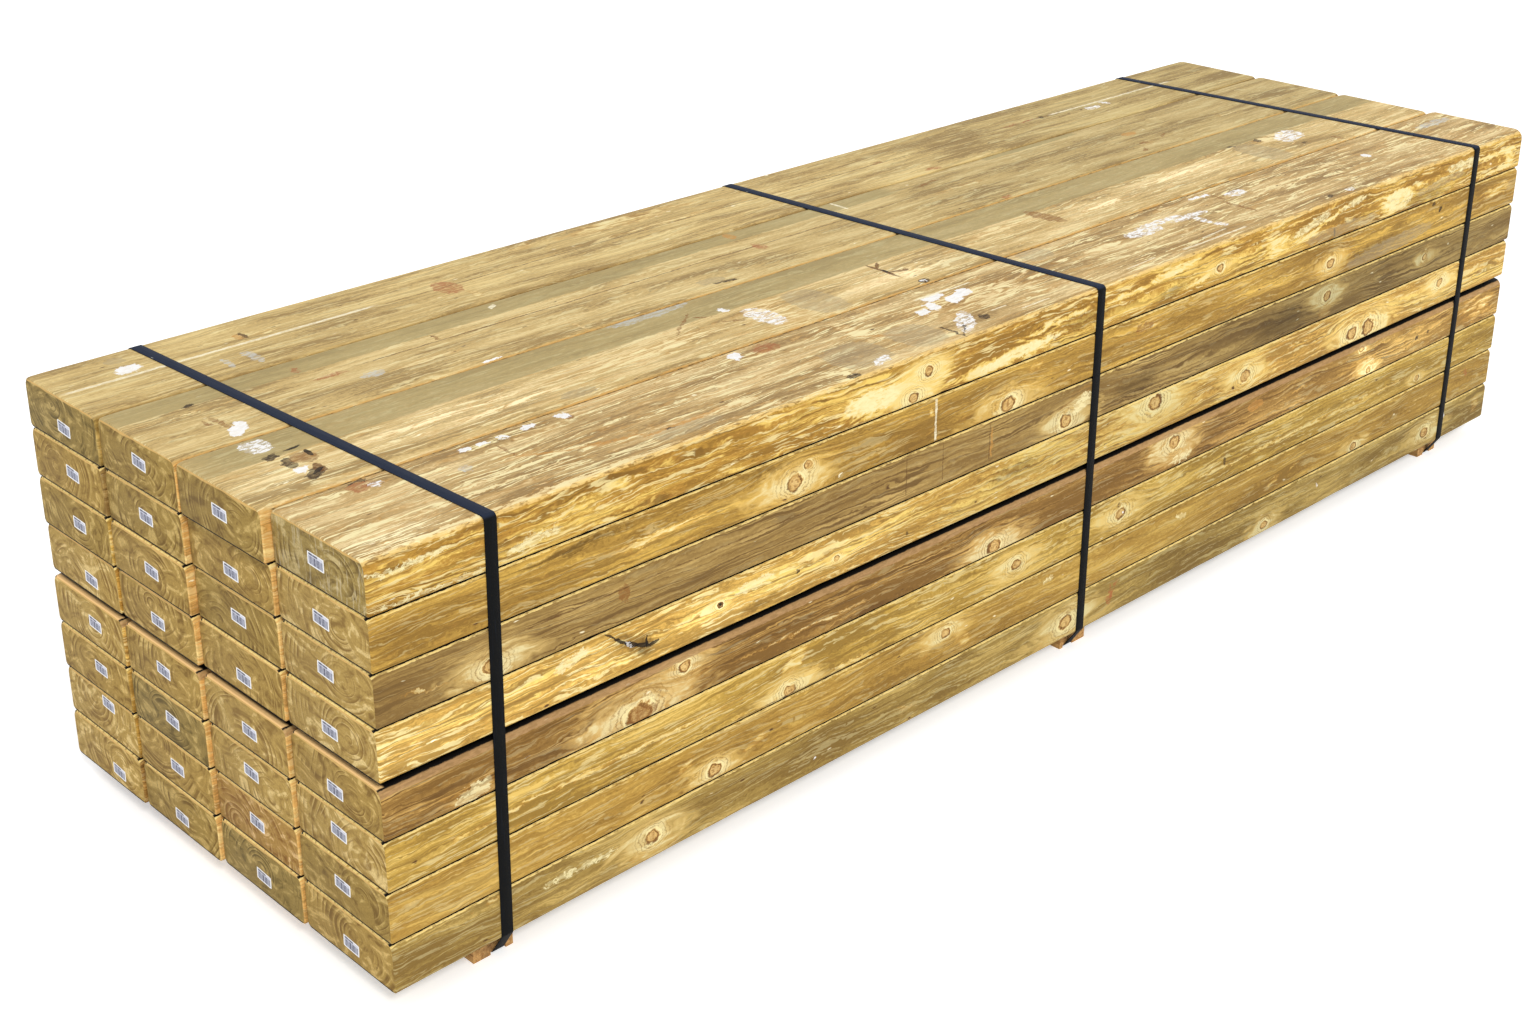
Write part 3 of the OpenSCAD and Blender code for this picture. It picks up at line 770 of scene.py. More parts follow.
# Marks on the near long side, a list for a layer from the lowest up, in the order in which they are
# laid on. A row is a look and the places that have it: distance from the labelled end, height,
# half length, half height and the slope, if there is one.
SIDE_MARKS = [
    [("cream", (150, 66, 40, 6), (430, 14, 50, 16), (1290, 14, 50, 14, 0.2), (2660, 40, 20, 18),
      (945, 30, 26, 5, -0.2)),
     ("shade", (2700, 38, 2000, 200)),
     ("glow", (300, 46, 66, 4, 0.02)),
     ("rust", (1447, 32, 8, 9), (1450, 48, 3, 14, 0.1), (1461, 52, 12, 3, 0.9)),
     ("paint", (2534, 52, 6, 6, 0.3)),
     ("white", (745, 24, 3, 3), (2078, 42, 4, 3))],
    [("cream", (490, 46, 16, 10, 0.5), (625, 30, 26, 10, 0.3), (1928, 26, 34, 7, 0.3),
      (1990, 36, 26, 5, 0.3), (985, 36, 20, 24, 0.6), (1070, 30, 24, 18, -0.5)),
     ("shade", (2700, 38, 2000, 200)),
     ("glow", (1641, 49, 14, 5), (1280, 56, 12, 3, 0.2)),
     ("rust", (2603, 52, 5, 9))],
    [("cream", (735, 22, 26, 13, 0.2), (700, 55, 30, 22, 0.5), (810, 8, 90, 5, -0.05),
      (330, 37, 330, 5), (2000, 30, 500, 5)),
     ("shade", (2700, 38, 2000, 200)),
     ("check", (740, 3, 160, 1.5, -0.01)),
     ("dark", (683, 1, 5, 4), (1758, 40, 4, 9, 0.3)),
     ("paint", (1468, 36, 4, 4))],
    [("cream", (135, 14, 60, 22), (470, 22, 60, 16, 0.2), (350, 18, 30, 14, 0.2),
      (1615, 20, 75, 20, 0.1), (1110, 28, 32, 18, 0.3), (2190, 26, 60, 22), (2610, 38, 80, 32),
      (1980, 40, 50, 3, 0.1), (740, 25, 170, 3)),
     ("shine", (2500, 38, 700, 200), (2400, 38, 500, 200)),
     ("glow", (135, 14, 30, 13, 0.2), (1625, 16, 30, 10, 0.1)),
     ("brown", (414, 12, 26, 15)),
     ("dark", (2384, 33, 5, 4), (2426, 36, 7, 3)),
     ("amber", (1840, 48, 24, 9))],
    [("shine", (0, 38, 1000, 300)),
     ("shade", (1350, 38, 500, 200)),
     ("bloom", (330, 40, 60, 20, 0.1), (560, 30, 70, 24, -0.1), (40, 30, 70, 26)),
     ("crack", (362, 66, 9, 2.5, -0.85), (379, 52, 12, 3, -0.7), (398, 41, 13, 4, -0.45),
      (416, 33, 13, 3.5, -0.3), (434, 29, 12, 2.5, 0.15), (424, 36, 2, 9, 0.3)),
     ("paint", (392, 44, 8, 1.6, -0.55)),
     ("glow", (300, 55, 30, 8, 0.2), (620, 50, 40, 6, 0.1)),
     ("dark", (705, 42, 4, 3), (934, 22, 4, 3)),
     ("stain", (400, 42, 40, 16, -0.5), (420, 30, 16, 10)),
     ("scar", (556, 41, 6, 5)),
     ("crack", (556, 42, 3, 2.5)),
     ("stain", (640, 16, 50, 10, 0.1), (1180, 50, 60, 10))],
    [("cream", (1320, 40, 50, 26, 0.3), (2038, 26, 30, 32, 0.4), (2036, 50, 46, 10), (2376, 58, 9, 8),
      (2362, 36, 8, 11), (172, 20, 48, 18), (60, 30, 60, 3, -0.1)),
     ("brown", (387, 45, 10, 13)),
     ("shade", (2700, 38, 1500, 200), (2200, 38, 600, 200)),
     ("stain", (1900, 30, 90, 30), (1480, 30, 70, 20)),
     ("glow", (1335, 40, 24, 14, 0.3)),
     ("amber", (1116, 38, 3, 26)),
     ("check", (1111, 40, 1.2, 30), (925, 40, 1, 30), (1005, 40, 1, 30), (560, 52, 350, 1.2))],
    [("cream", (976, 52, 6, 12), (1490, 53, 38, 14), (450, 34, 90, 8, 0.03), (2050, 30, 70, 22),
      (2620, 44, 60, 14), (1215, 60, 24, 8, 0.2)),
     ("stain", (300, 62, 120, 6, 0.02), (640, 64, 60, 7), (2180, 28, 120, 14, 0.05)),
     ("bloom", (500, 34, 110, 14, 0.05), (1840, 34, 90, 22)),
     ("line", (986, 37, 2.2, 34)),
     ("brown", (1490, 53, 24, 8)),
     ("grey", (2240, 20, 150, 14, 0.05)),
     ("dark", (2382, 67, 8, 3), (2408, 51, 6, 3))],
    [("cream", (850, 28, 80, 26), (950, 30, 70, 34), (1150, 16, 150, 14, 0.05),
      (1260, 44, 100, 6, 0.08), (1500, 50, 170, 8, 0.08), (1660, 26, 130, 7, 0.1), (1860, 26, 52, 24),
      (2000, 38, 90, 6, 0.25), (2240, 30, 66, 28), (2600, 46, 100, 7), (2610, 12, 90, 6),
      (2656, 28, 20, 20)),
     ("glow", (245, 20, 46, 8, 0.1), (100, 7, 95, 3), (60, 52, 60, 4), (2090, 56, 46, 6, 0.15),
      (1960, 44, 60, 8, 0.2)),
     ("stain", (1330, 30, 70, 14), (2350, 14, 90, 12), (1560, 20, 50, 10, 0.1)),
     ("glow", (2480, 50, 60, 9), (850, 30, 60, 16), (1180, 18, 100, 6, 0.06), (2250, 30, 50, 18)),
     ("dark", (2038, 14, 4, 9)),
     ("grey", (2060, 15, 115, 10), (2400, 30, 90, 8, 0.05))],
]

# Marks on the top by column, from the near one: as above, but the height is the place across
TOP_MARKS = [
    [("cream", (60, 112, 42, 5), (250, 7, 310, 8), (620, 50, 60, 9), (230, 62, 150, 4),
      (300, 84, 180, 3), (945, 140, 18, 52), (1530, 118, 60, 12), (2030, 126, 95, 6),
      (2030, 110, 100, 4), (2210, 130, 50, 6), (2430, 104, 90, 7), (2640, 92, 60, 8)),
     ("slab", (1195, 104, 155, 40)),
     ("bloom", (60, 30, 90, 26)),
     ("rust", (118, 176, 20, 14)),
     ("dark", (118, 191, 15, 3)),
     ("white", (133, 170, 10, 8)),
     ("paint", (275, 180, 10, 6), (304, 178, 8, 5), (335, 178, 8, 5), (380, 180, 11, 6),
      (437, 180, 9, 9), (750, 178, 11, 12, 0.3)),
     ("brown", (440, 168, 7, 7, 0.4), (312, 140, 2, 26)),
     ("blue", (240, 129, 9, 10), (2620, 150, 60, 12)),
     ("amber", (340, 100, 34, 4, -0.5), (420, 72, 60, 4, -0.25), (545, 52, 80, 4, 0.02)),
     ("dark", (514, 48, 10, 3), (820, 9, 12, 8)),
     ("grey", (530, 35, 60, 14)),
     ("rust", (806, 174, 24, 17)),
     ("grey", (880, 62, 52, 46)),
     ("white", (893, 24, 20, 8, 0.3)),
     ("amber", (962, 92, 30, 5, -0.7)),
     ("grey", (1002, 58, 42, 46), (1415, 175, 34, 25)),
     ("paint", (1082, 116, 13, 12, 0.2), (1110, 124, 12, 16, 0.3), (1140, 150, 22, 9, 0.1),
      (1160, 124, 18, 12, 0.3), (1190, 134, 20, 13, 0.1)),
     ("line", (1150, 160, 40, 2.5), (1180, 158, 55, 2)),
     ("white", (1095, 45, 34, 18, 0.8), (1640, 124, 46, 17), (1700, 138, 60, 9), (1765, 122, 50, 9),
      (1766, 96, 8, 24), (1772, 60, 9, 11)),
     ("dark", (1052, 30, 3, 30, 0.2), (1070, 24, 22, 2, 1.0), (1134, 40, 10, 8, 0.4),
      (2045, 20, 11, 7, 0.2)),
     ("line", (1178, 50, 18, 1.8), (1236, 25, 34, 1.6), (1700, 22, 90, 2.5), (1720, 38, 36, 2, 0.05),
      (1505, 28, 40, 1.6, 0.05)),
     ("paint", (1868, 177, 27, 4), (2318, 116, 9, 9)),
     ("brown", (1893, 156, 4, 18)),
     ("white", (1938, 146, 26, 12), (2108, 19, 12, 8)),
     ("brown", (1878, 95, 5, 36, 0.1))],
    [("cream", (330, 84, 150, 7), (420, 56, 90, 8, 0.05), (690, 76, 150, 18), (1180, 50, 100, 10),
      (1480, 98, 95, 12), (1720, 64, 70, 10), (1960, 84, 130, 10), (2310, 108, 66, 26)),
     ("slab", (935, 60, 40, 60)),
     ("band", (1350, 160, 1400, 38)),
     ("bloom", (60, 60, 80, 40)),
     ("white", (98, 168, 20, 22)),
     ("dark", (95, 127, 11, 10, 0.3)),
     ("crack", (130, 134, 14, 2.5, 0.1)),
     ("dark", (102, 96, 10, 15, 0.5)),
     ("brown", (126, 99, 18, 18)),
     ("crack", (138, 108, 4, 12, 0.6)),
     ("paint", (102, 68, 10, 9, 0.4)),
     ("dark", (108, 46, 15, 13, 0.6)),
     ("scar", (122, 58, 8, 14, 0.4), (1188, 86, 4, 40), (1200, 110, 12, 4, 0.8)),
     ("crack", (116, 52, 12, 4, 0.5), (1190, 82, 3, 14)),
     ("bloom", (360, 72, 200, 44)),
     ("grey", (515, 24, 30, 12)),
     ("blue", (785, 189, 80, 12)),
     ("brown", (797, 126, 40, 3.5, 0.8), (836, 128, 14, 3.5, -0.6)),
     ("white", (908, 66, 22, 42), (880, 128, 8, 8)),
     ("brown", (862, 84, 16, 4, -0.7), (1597, 90, 16, 42, -0.7)),
     ("grey", (1012, 62, 38, 58)),
     ("scar", (1220, 66, 5, 5), (1205, 70, 16, 4, -0.4)),
     ("dark", (1203, 9, 11, 9)),
     ("white", (1203, 9, 5, 5)),
     ("bloom", (1200, 62, 150, 40), (1720, 72, 95, 30), (1985, 70, 200, 44)),
     ("grey", (2212, 62, 38, 60)),
     ("dark", (2195, 122, 9, 4, -0.2)),
     ("white", (2342, 92, 42, 26, 0.2)),
     ("dark", (2268, 115, 9, 6, 0.2), (2325, 45, 9, 5)),
     ("brown", (2402, 22, 5, 14))],
    [("cream", (120, 124, 135, 2, -0.03), (850, 119, 500, 2, -0.004), (440, 68, 60, 10),
      (682, 25, 5, 22), (1640, 105, 85, 8), (2105, 40, 32, 18), (2400, 68, 52, 6)),
     ("shade", (2700, 100, 1700, 500)),
     ("band", (450, 173, 470, 27), (1210, 178, 310, 22), (1920, 190, 135, 10)),
     ("check", (850, 115, 500, 1.6, -0.004)),
     ("brown", (93, 78, 4, 12, -0.3), (105, 84, 4, 10, -0.3), (109, 58, 5, 18, 0.2), (500, 131, 3, 14),
      (1600, 160, 30, 4, 0.2), (2100, 52, 12, 5, -0.3), (2065, 25, 10, 6, 0.5), (2172, 62, 12, 5, 0.6)),
     ("paint", (115, 36, 17, 15, 0.8), (507, 5, 16, 3)),
     ("rust", (305, 110, 30, 6), (281, 163, 5, 10), (1132, 106, 10, 18), (1640, 7, 12, 8)),
     ("blue", (352, 74, 20, 9)),
     ("dark", (105, 148, 9, 6), (975, 20, 24, 4, -0.15)),
     ("line", (640, 180, 8, 5, 0.5), (1385, 172, 3, 22)),
     ("grey", (960, 38, 26, 14)),
     ("amber", (1132, 180, 9, 16), (2130, 112, 20, 9))],
    [("cream", (335, 120, 28, 8), (661, 44, 10, 24), (862, 176, 50, 16, 0.2), (1090, 112, 230, 9),
      (1060, 165, 170, 28)),
     ("shade", (2700, 100, 1100, 500)),
     ("paint", (118, 124, 19, 15, 0.2)),
     ("line", (262, 101, 255, 3.6, 0.008)),
     ("check", (1600, 104, 1090, 1.3, 0.004)),
     ("amber", (299, 129, 10, 12)),
     ("dark", (304, 129, 5, 13)),
     ("blue", (231, 48, 4, 24, -0.2), (271, 46, 8, 28)),
     ("rust", (645, 96, 22, 32), (1680, 14, 22, 7), (2040, 108, 60, 3)),
     ("grey", (118, 165, 16, 12)),
     ("brown", (1630, 108, 14, 6)),
     ("white", (2240, 84, 20, 9), (2290, 92, 8, 12)),
     ("dark", (2105, 106, 8, 5, 0.5)),
     ("line", (2330, 106, 200, 3))],
]
TOP_TONES = [
    tones((203, 171, 114), (242, 216, 160), cream=0.5, grain=0.3, contrast=1.2, lines=1.0),
    tones((216, 186, 124), (244, 218, 160), cream=0.4, grain=0.25, contrast=1.1, lines=0.7),
    tones((210, 181, 120), (234, 208, 148), cream=0.2, grain=0.15, contrast=1.1, lines=0.5),
    tones((209, 180, 118), (234, 208, 144), cream=0.18, grain=0.3, contrast=1.2, lines=0.4),
]


def laid_out(rows, start=0):
    """Single marks out of rows of one look each, with heights counted from a place on the girth."""
    return [(look, x, start + height, half_x, half_height, *(slope or [0]))
            for look, *places in rows for x, height, half_x, half_height, *slope in places]


def random_knots(rng, low, high, count):
    """Knots at chance places between two places on the girth."""
    return [(rng.uniform(80, LENGTH - 80), rng.uniform(low + 8, high - 8), rng.uniform(7, 13),
             rng.uniform(0.6, 1)) for _ in range(count)]


def random_marks(rng, low, high, count):
    """Cream flames at chance places between two places on the girth."""
    return [("cream", rng.uniform(100, LENGTH - 100), rng.uniform(low, high), rng.uniform(40, 140),
             rng.uniform(6, 22), rng.uniform(-0.1, 0.1)) for _ in range(count)]


def sleeper_material(layer, column):
    """The timber of one sleeper; sleepers inside the bundle share one."""
    if hidden(layer, column):
        name, like = "timber_inner", 2
        if layer == LOWER_LAYERS:
            name, like = "timber_inner_low", layer
        shared = bpy.data.materials.get(name)
        return shared or timber_material(name, INNER_TONES, layer=like, column=2)
    rng = random.Random(100 * layer + column)
    side, knots, marks, top = SIDE_TONES[layer - 1], [], [], None
    if column == 1:
        knots += SIDE_KNOTS[layer - 1]
        marks += laid_out(SIDE_MARKS[layer - 1])
    elif column == COLUMNS:
        side = SIDE_TONES[(layer * 3) % LAYERS]
        knots += random_knots(rng, FAR_START, GIRTH_END, 5)
        marks += random_marks(rng, FAR_START, GIRTH_END, 4)
    else:
        side = INNER_TONES
    if layer == 1:
        knots += random_knots(rng, -100, 0, 2) + random_knots(rng, GIRTH_END, GIRTH_END + 100, 2)
    if layer == LAYERS:
        top = TOP_TONES[column - 1]
        marks += laid_out(TOP_MARKS[column - 1], TOP_START)
    return timber_material(f"timber_{layer}_{column}", side, knots, marks, top, layer, column)


def label_material():
    """White paper with plain printed bars; the border stays bare."""
    material, t, shader = new_material("paper_label")
    u, v, _ = t.split(t.uv("label"))

    def printed_on(low_u, high_u, low_v, high_v):
        return t.product(t.window(u, low_u - 0.01, low_u + 0.01, high_u + 0.01, high_u - 0.01),
                         t.window(v, low_v - 0.02, low_v + 0.02, high_v + 0.02, high_v - 0.02))

    bars = t.noise(t.join(t.product(u, 20.0), 0.0), 1.0)
    wear = t.noise(t.join(t.product(u, 7.0), t.product(v, 4.0)), 3.0)
    field = printed_on(0.06, 0.94, 0.09, 0.91)
    ink = t.product(printed_on(0.08, 0.92, 0.11, 0.7), t.step(bars, 0.46, 0.5, 0.15, 0.95))
    header = t.product(printed_on(0.08, 0.62, 0.77, 0.92), t.step(bars, 0.3, 0.45, 0.8, 1.0))
    printed = t.product(t.math("MAXIMUM", ink, header), t.step(wear, 0.25, 0.6, 0.7, 1.0))
    paper = t.mix(t.product(field, 0.8), srgb(255, 255, 255), srgb(204, 208, 230))
    paper = t.mix(t.step(wear, 0.4, 0.75, 0.0, 0.2), paper, srgb(204, 210, 228))
    color = t.mix(printed, paper, srgb(52, 56, 84))
    finish_surface(t, shader, color, 0.5, 0.5, wear, 0.12)
    return material


# A label's grid, how far its corners are rounded off, how much thinner its rim is than the part's,
# and how far its middle bulges
LABEL_ROWS, LABEL_COLUMNS = 4, 6
CORNER_PULL, RIM_THINNING, LABEL_CROWN = 0.3, 0.07, 0.06


def label_sheets(layer, column, tilt):
    """Both sheets of a label as (point, uv) lists: flat at the back, slightly crowned in front.
    u runs the way the label is read, from the far long side to the near one."""
    width, height, thickness = LABEL_SIZE
    across, up = LABEL_PLACES[layer - 1][column - 1]
    middle_y = column_middle(column) + across * (WIDTH - width) / 2
    middle_z = layer_bottom(layer) + THICKNESS / 2 + up * (THICKNESS - height) / 2
    back = near_end(layer, column)
    found = []
    for front in (0, 1):
        for j in range(LABEL_ROWS + 1):
            for i in range(LABEL_COLUMNS + 1):
                u, v = i / LABEL_COLUMNS, j / LABEL_ROWS
                corner = i in (0, LABEL_COLUMNS) and j in (0, LABEL_ROWS)
                pull = CORNER_PULL if corner else 0.0
                y = (u - 0.5) * (width - 2 * pull)
                z = (v - 0.5) * (height - 2 * pull)
                crown = LABEL_CROWN * math.cos(math.pi * (u - 0.5))
                x = back - front * (thickness - RIM_THINNING + crown)
                found.append(((x * MM, (middle_y - y * math.cos(tilt) - z * math.sin(tilt)) * MM,
                               (middle_z + z * math.cos(tilt) - y * math.sin(tilt)) * MM), (u, v)))
    return found


def build_labels():
    """All the labels as one mesh, each with two sheets and the rim between them."""
    verts, faces, uvs = [], [], []
    rng = random.Random(5)
    row = LABEL_COLUMNS + 1
    sheet = (LABEL_ROWS + 1) * row
    for layer in range(1, LAYERS + 1):
        for column in range(1, COLUMNS + 1):
            base = len(verts)
            for point, uv in label_sheets(layer, column, math.radians(rng.uniform(1.5, 4.5))):
                verts.append(point)
                uvs.append(uv)
            for j in range(LABEL_ROWS):
                for i in range(LABEL_COLUMNS):
                    a = base + j * row + i
                    b = a + sheet
                    faces.append((a, a + row, a + row + 1, a + 1))
                    faces.append((b, b + 1, b + row + 1, b + row))
            rim = [base + i for i in range(LABEL_COLUMNS)]
            rim += [base + LABEL_COLUMNS + j * row for j in range(LABEL_ROWS)]
            rim += [base + LABEL_ROWS * row + i for i in range(LABEL_COLUMNS, 0, -1)]
            rim += [base + j * row for j in range(LABEL_ROWS, 0, -1)]
            for a, b in zip(rim, rim[1:] + rim[:1]):
                faces.append((a, b, b + sheet, a + sheet))
    mesh = new_mesh("end_labels_printed", verts, faces, "label", uvs)
    mesh.materials.append(label_material())
    return linked(mesh)


def strap_material():
    """Black polyester strap: a satin face with a fine embossed weave, scuffs and dust, and a painted
    sky reflection in navy on its upward faces.
    """
    material, t, shader = new_material("strap")
    along = t.scaled(t.uv("strap"), 1000, 1000, 0)
    emboss = t.node("TexWave", {"Vector": along, "Scale": 0.35, "Distortion": 0.0},
                    bands_direction="DIAGONAL").outputs["Fac"]
    scuff = t.blots(along, (60, 2.5), 4.0)
    cells = t.node("TexVoronoi", {"Vector": t.scaled(along, 1 / 34, 1 / 9, 1), "Scale": 1.0})
    dust = t.product(t.step(cells.outputs["Distance"], 0.12, 0.06),
                     t.step(t.split(cells.outputs["Color"])[0], 0.9, 0.92))
    # Painted reflection: upward faces are navy, as the sky would show in the strap's satin
    sky_reflection_mask = t.step(t.split(t.node("NewGeometry").outputs["Normal"])[2], 0.3, 0.9)
    base = t.mix(sky_reflection_mask, srgb(13, 14, 15), srgb(38, 46, 64))
    color = t.mix(t.step(scuff, 0.5, 0.75, 0.0, 0.3), base, srgb(36, 42, 54))
    color = t.mix(t.product(dust, 0.8), color, srgb(190, 188, 180))
    satin = t.step(scuff, 0.3, 0.7, 0.6, 0.7)
    finish_surface(t, shader, color, satin, 0.08, t.add(emboss, scuff), 0.08)
    return material


# Longest span of a strap's straight runs, and the spans of its lap and of the lap's step
RUN_STEP = 26
LAP_SPANS, STEP_SPANS = 12, 4


def strap_route():
    """Middle line of a strap as (y, z, normal), anticlockwise from the bearer's far corner.
    The tangent route is the part's own: bearer corners, slants, arrises and long sides."""
    reach = STRAP_CLEARANCE + STRAP_THICKNESS / 2
    groove = GROUND_CLEARANCE + STRAP_THICKNESS + STRAP_CLEARANCE
    arris = (HALF_WIDTH - ARRIS, BEARER_THICKNESS + ARRIS)
    corner = (BEARER_HALF_LENGTH - BEARER_CORNER, groove + BEARER_CORNER)
    slant = (arris[0] - corner[0], arris[1] - corner[1])
    angle = math.degrees(math.atan2(slant[0], slant[1])
                         + math.asin((ARRIS - BEARER_CORNER) / math.hypot(*slant)))

    def arc(centre, radius, low, high, steps):
        turns = [math.radians(low + (high - low) * i / steps) for i in range(steps + 1)]
        return [(centre[0] + radius * math.cos(a), centre[1] + radius * math.sin(a),
                 (math.cos(a), math.sin(a))) for a in turns]

    half = arc(corner, BEARER_CORNER + reach, -90, -angle, 6)
    half += arc(arris, ARRIS + reach, -angle, 0, 6)
    half += arc((arris[0], STACK_TOP - ARRIS), ARRIS + reach, 0, 90, 10)
    bends = half + [(-y, z, (-n[0], n[1])) for y, z, n in reversed(half)]
    route = []
    for a, b in zip(bends, bends[1:] + bends[:1]):
        # Long straight runs are divided, so that they can lean smoothly
        count = max(1, round(math.dist(a[:2], b[:2]) / RUN_STEP))
        for i in range(count):
            y, z = (a[k] + (b[k] - a[k]) * (i / count) for k in (0, 1))
            route.append((y, z, b[2] if i else a[2]))
    return route


def strap_lean(place, y, z):
    """How far a strap's middle lies off its place: it drifts away from the labelled end up the
    near side, and leans back towards it over the top and down the far side."""
    edge, low, high = HALF_WIDTH - ARRIS, BEARER_THICKNESS + ARRIS, STACK_TOP - ARRIS
    drift, lean = STRAP_DRIFTS[place], STRAP_LEANS[place]
    up = min(max((z - low) / (high - low), 0.0), 1.0)
    over = min(max((y + edge) / (2 * edge), 0.0), 1.0)
    if z >= high:
        return drift - (drift + lean) * over
    return (drift if y < 0 else -lean) * up


def strap_section():
    """Section of a strap as (across, out), with its edges taken off."""
    half, thick, edge = STRAP_WIDTH / 2, STRAP_THICKNESS / 2, 0.25
    one_side = [(-half, -thick + edge), (-half, thick - edge),
                (-half + edge, thick), (half - edge, thick)]
    return one_side + [(-across, -out) for across, out in one_side]


def sweep(verts, faces, uvs, place, route, closed):
    """Adds the strap's section swept along a route."""
    section = strap_section()
    n = len(section)
    base, along, last = len(verts), 0.0, None
    for y, z, normal in route:
        x = STRAP_MIDDLES[place] + strap_lean(place, y, z)
        along += math.dist((x, y, z), last) if last else 0.0
        last = (x, y, z)
        for across, out in section:
            point = (x + across, y + normal[0] * out, z + normal[1] * out)
            verts.append(tuple(v * MM for v in point))
            uvs.append((along * MM, (across + out) * MM))
    count = len(route)
    for s in range(count if closed else count - 1):
        for i in range(n):
            a, b = base + s * n, base + ((s + 1) % count) * n
            faces.append((a + i, b + i, b + (i + 1) % n, a + (i + 1) % n))
    if not closed:
        faces.append(tuple(base + i for i in range(n)))
        faces.append(tuple(base + (count - 1) * n + i for i in reversed(range(n))))


def lap_route():
    """The outer end of a strap, which lies on the inner end and steps in to it at the top."""
    inner = HALF_WIDTH + STRAP_CLEARANCE + STRAP_THICKNESS / 2
    outer = inner + STRAP_THICKNESS * 0.98
    low, high = LAP_HEIGHT - LAP_LENGTH / 2, LAP_HEIGHT + LAP_LENGTH / 2
    lap = [(outer, low + LAP_LENGTH * i / LAP_SPANS, (1, 0)) for i in range(LAP_SPANS + 1)]
    for i in range(1, STEP_SPANS + 1):
        share = i / STEP_SPANS
        lap.append((outer - 0.9 * share * (outer - inner), high + LAP_STEP * share, (1, 0)))
    return lap


def build_strap(place, material):
    """One strap: its closed loop and the outer end of its lap."""
    verts, faces, uvs = [], [], []
    sweep(verts, faces, uvs, place, strap_route(), True)
    sweep(verts, faces, uvs, place, lap_route(), False)
    mesh = new_mesh(f"strap_{place}_woven", verts, faces, "strap", uvs)
    mesh.shade_smooth()
    mesh.set_sharp_from_angle(angle=math.radians(50))
    mesh.materials.append(material)
    return linked(mesh)


def rough_material():
    """Rough sawn timber of the bearers and separators."""
    material, t, shader = new_material("rough_timber")
    mm = t.scaled(t.node("TexCoord").outputs["Object"], 1000, 1000, 1000)
    fibre = t.blots(mm, (3, 70, 3), 4.0, 0.65)
    saw = t.blots(mm, (2, 5, 30), 3.0)
    blotch = t.blots(mm, (22, 40, 22), 3.0)
    color = t.mix(t.step(fibre, 0.3, 0.7), srgb(164, 116, 62), srgb(222, 176, 110))
    color = t.mix(t.step(blotch, 0.5, 0.75, 0.0, 0.6), color, srgb(110, 76, 42))
    finish_surface(t, shader, color, 0.85, 0.5, t.add(fibre, saw), 1.2)
    return material


CAMERA_PLACE = (-2.5237, -2.2891, 1.7484)
CAMERA_TURN = (66.944, -0.144, -44.009)
CAMERA_LENS, CAMERA_SENSOR, CAMERA_SHIFT = 49.864, 36, -0.06
SUN_STRENGTH, SUN_SPREAD, SUN_DIRECTION = 1.35, 12, (0.28, 0.66, -0.70)
WORLD_STRENGTH = 0.72
FLOOR_SIZE, FLOOR_GLOW = 30, 0.42


def build_camera():
    camera = linked(bpy.data.cameras.new("camera"))
    camera.location = CAMERA_PLACE
    camera.rotation_euler = [math.radians(a) for a in CAMERA_TURN]
    camera.data.sensor_width = CAMERA_SENSOR
    camera.data.lens = CAMERA_LENS
    camera.data.shift_y = CAMERA_SHIFT
    bpy.context.scene.camera = camera


def seen_directly(t):
    """1 for the rays that show a backdrop itself: from the camera, or by gloss or through glass."""
    rays = t.node("LightPath").outputs
    return t.math("MAXIMUM", rays["Is Camera Ray"],
                  t.math("MAXIMUM", rays["Is Glossy Ray"], rays["Is Transmission Ray"]))


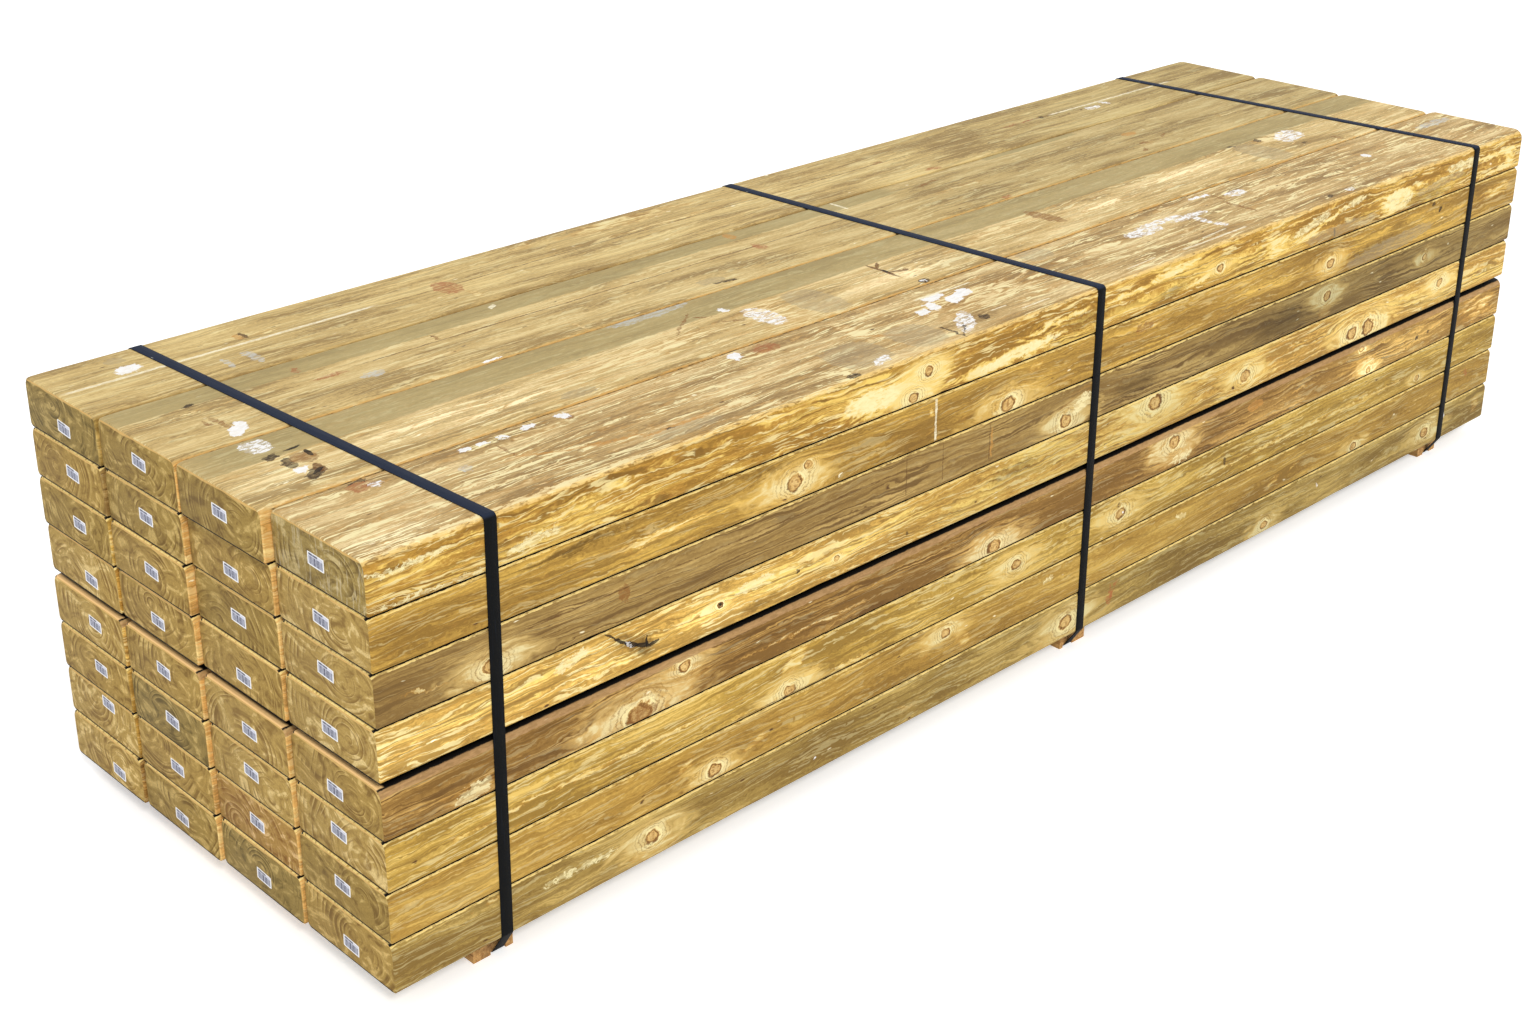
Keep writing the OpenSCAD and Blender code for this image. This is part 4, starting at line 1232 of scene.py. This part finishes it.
def build_lights():
    light = bpy.data.lights.new("key", "SUN")
    light.energy = SUN_STRENGTH
    light.angle = math.radians(SUN_SPREAD)
    light.color = (1.0, 0.97, 0.92)
    linked(light).rotation_euler = Vector(SUN_DIRECTION).to_track_quat("-Z", "Y").to_euler()
    world = bpy.data.worlds.new("world")
    bpy.context.scene.world = world
    world.use_nodes = True
    t = Tree(world.node_tree)
    background = world.node_tree.nodes["Background"]
    background.inputs["Color"].default_value = (1, 1, 1, 1)
    strength = t.math("MULTIPLY_ADD", seen_directly(t), 1 - WORLD_STRENGTH, WORLD_STRENGTH)
    t.put(background.inputs["Strength"], strength)


def build_floor():
    """A white floor that glows a little to the camera, so that it runs into the backdrop."""
    s = FLOOR_SIZE
    mesh = bpy.data.meshes.new("floor")
    mesh.from_pydata([(-s, -s, 0), (s, -s, 0), (s, s, 0), (-s, s, 0)], [], [(0, 1, 2, 3)])
    material, t, shader = new_material("floor")
    shader.inputs["Base Color"].default_value = (0.9, 0.9, 0.9, 1)
    shader.inputs["Roughness"].default_value = 0.9
    shader.inputs["Specular IOR Level"].default_value = 0.0
    shader.inputs["Emission Color"].default_value = (0.96, 0.98, 1, 1)
    t.put(shader.inputs["Emission Strength"], t.product(seen_directly(t), FLOOR_GLOW))
    mesh.materials.append(material)
    linked(mesh)


def settle(piece, node):
    """Lets a new piece ride on the root in place of a CAD node."""
    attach(piece, "root")
    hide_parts(node)


build_camera()
GROUPS = {"knot": knot_group(), "patch": patch_group(), "planed": planed_group()}

cut_ends = {kind: cut_end_material(kind) for kind in END_TONES}
for layer in range(1, LAYERS + 1):
    for column in range(1, COLUMNS + 1):
        sleeper = build_sleeper(layer, column)
        sleeper.data.materials.append(sleeper_material(layer, column))
        sleeper.data.materials.append(cut_ends[END_KINDS[layer - 1][column - 1]])
        settle(sleeper, f"sleepers_layer_{layer}")

settle(build_labels(), "end_labels")

strap = strap_material()
rough = rough_material()
for place in STRAP_MIDDLES:
    settle(build_strap(place, strap), f"strap_{place}")
    for part in ("bearer", "separator"):
        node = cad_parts[f"{part}_{place}"]
        node.data.materials.clear()
        node.data.materials.append(rough)

build_lights()
build_floor()
bpy.context.scene.view_settings.view_transform = "Standard"
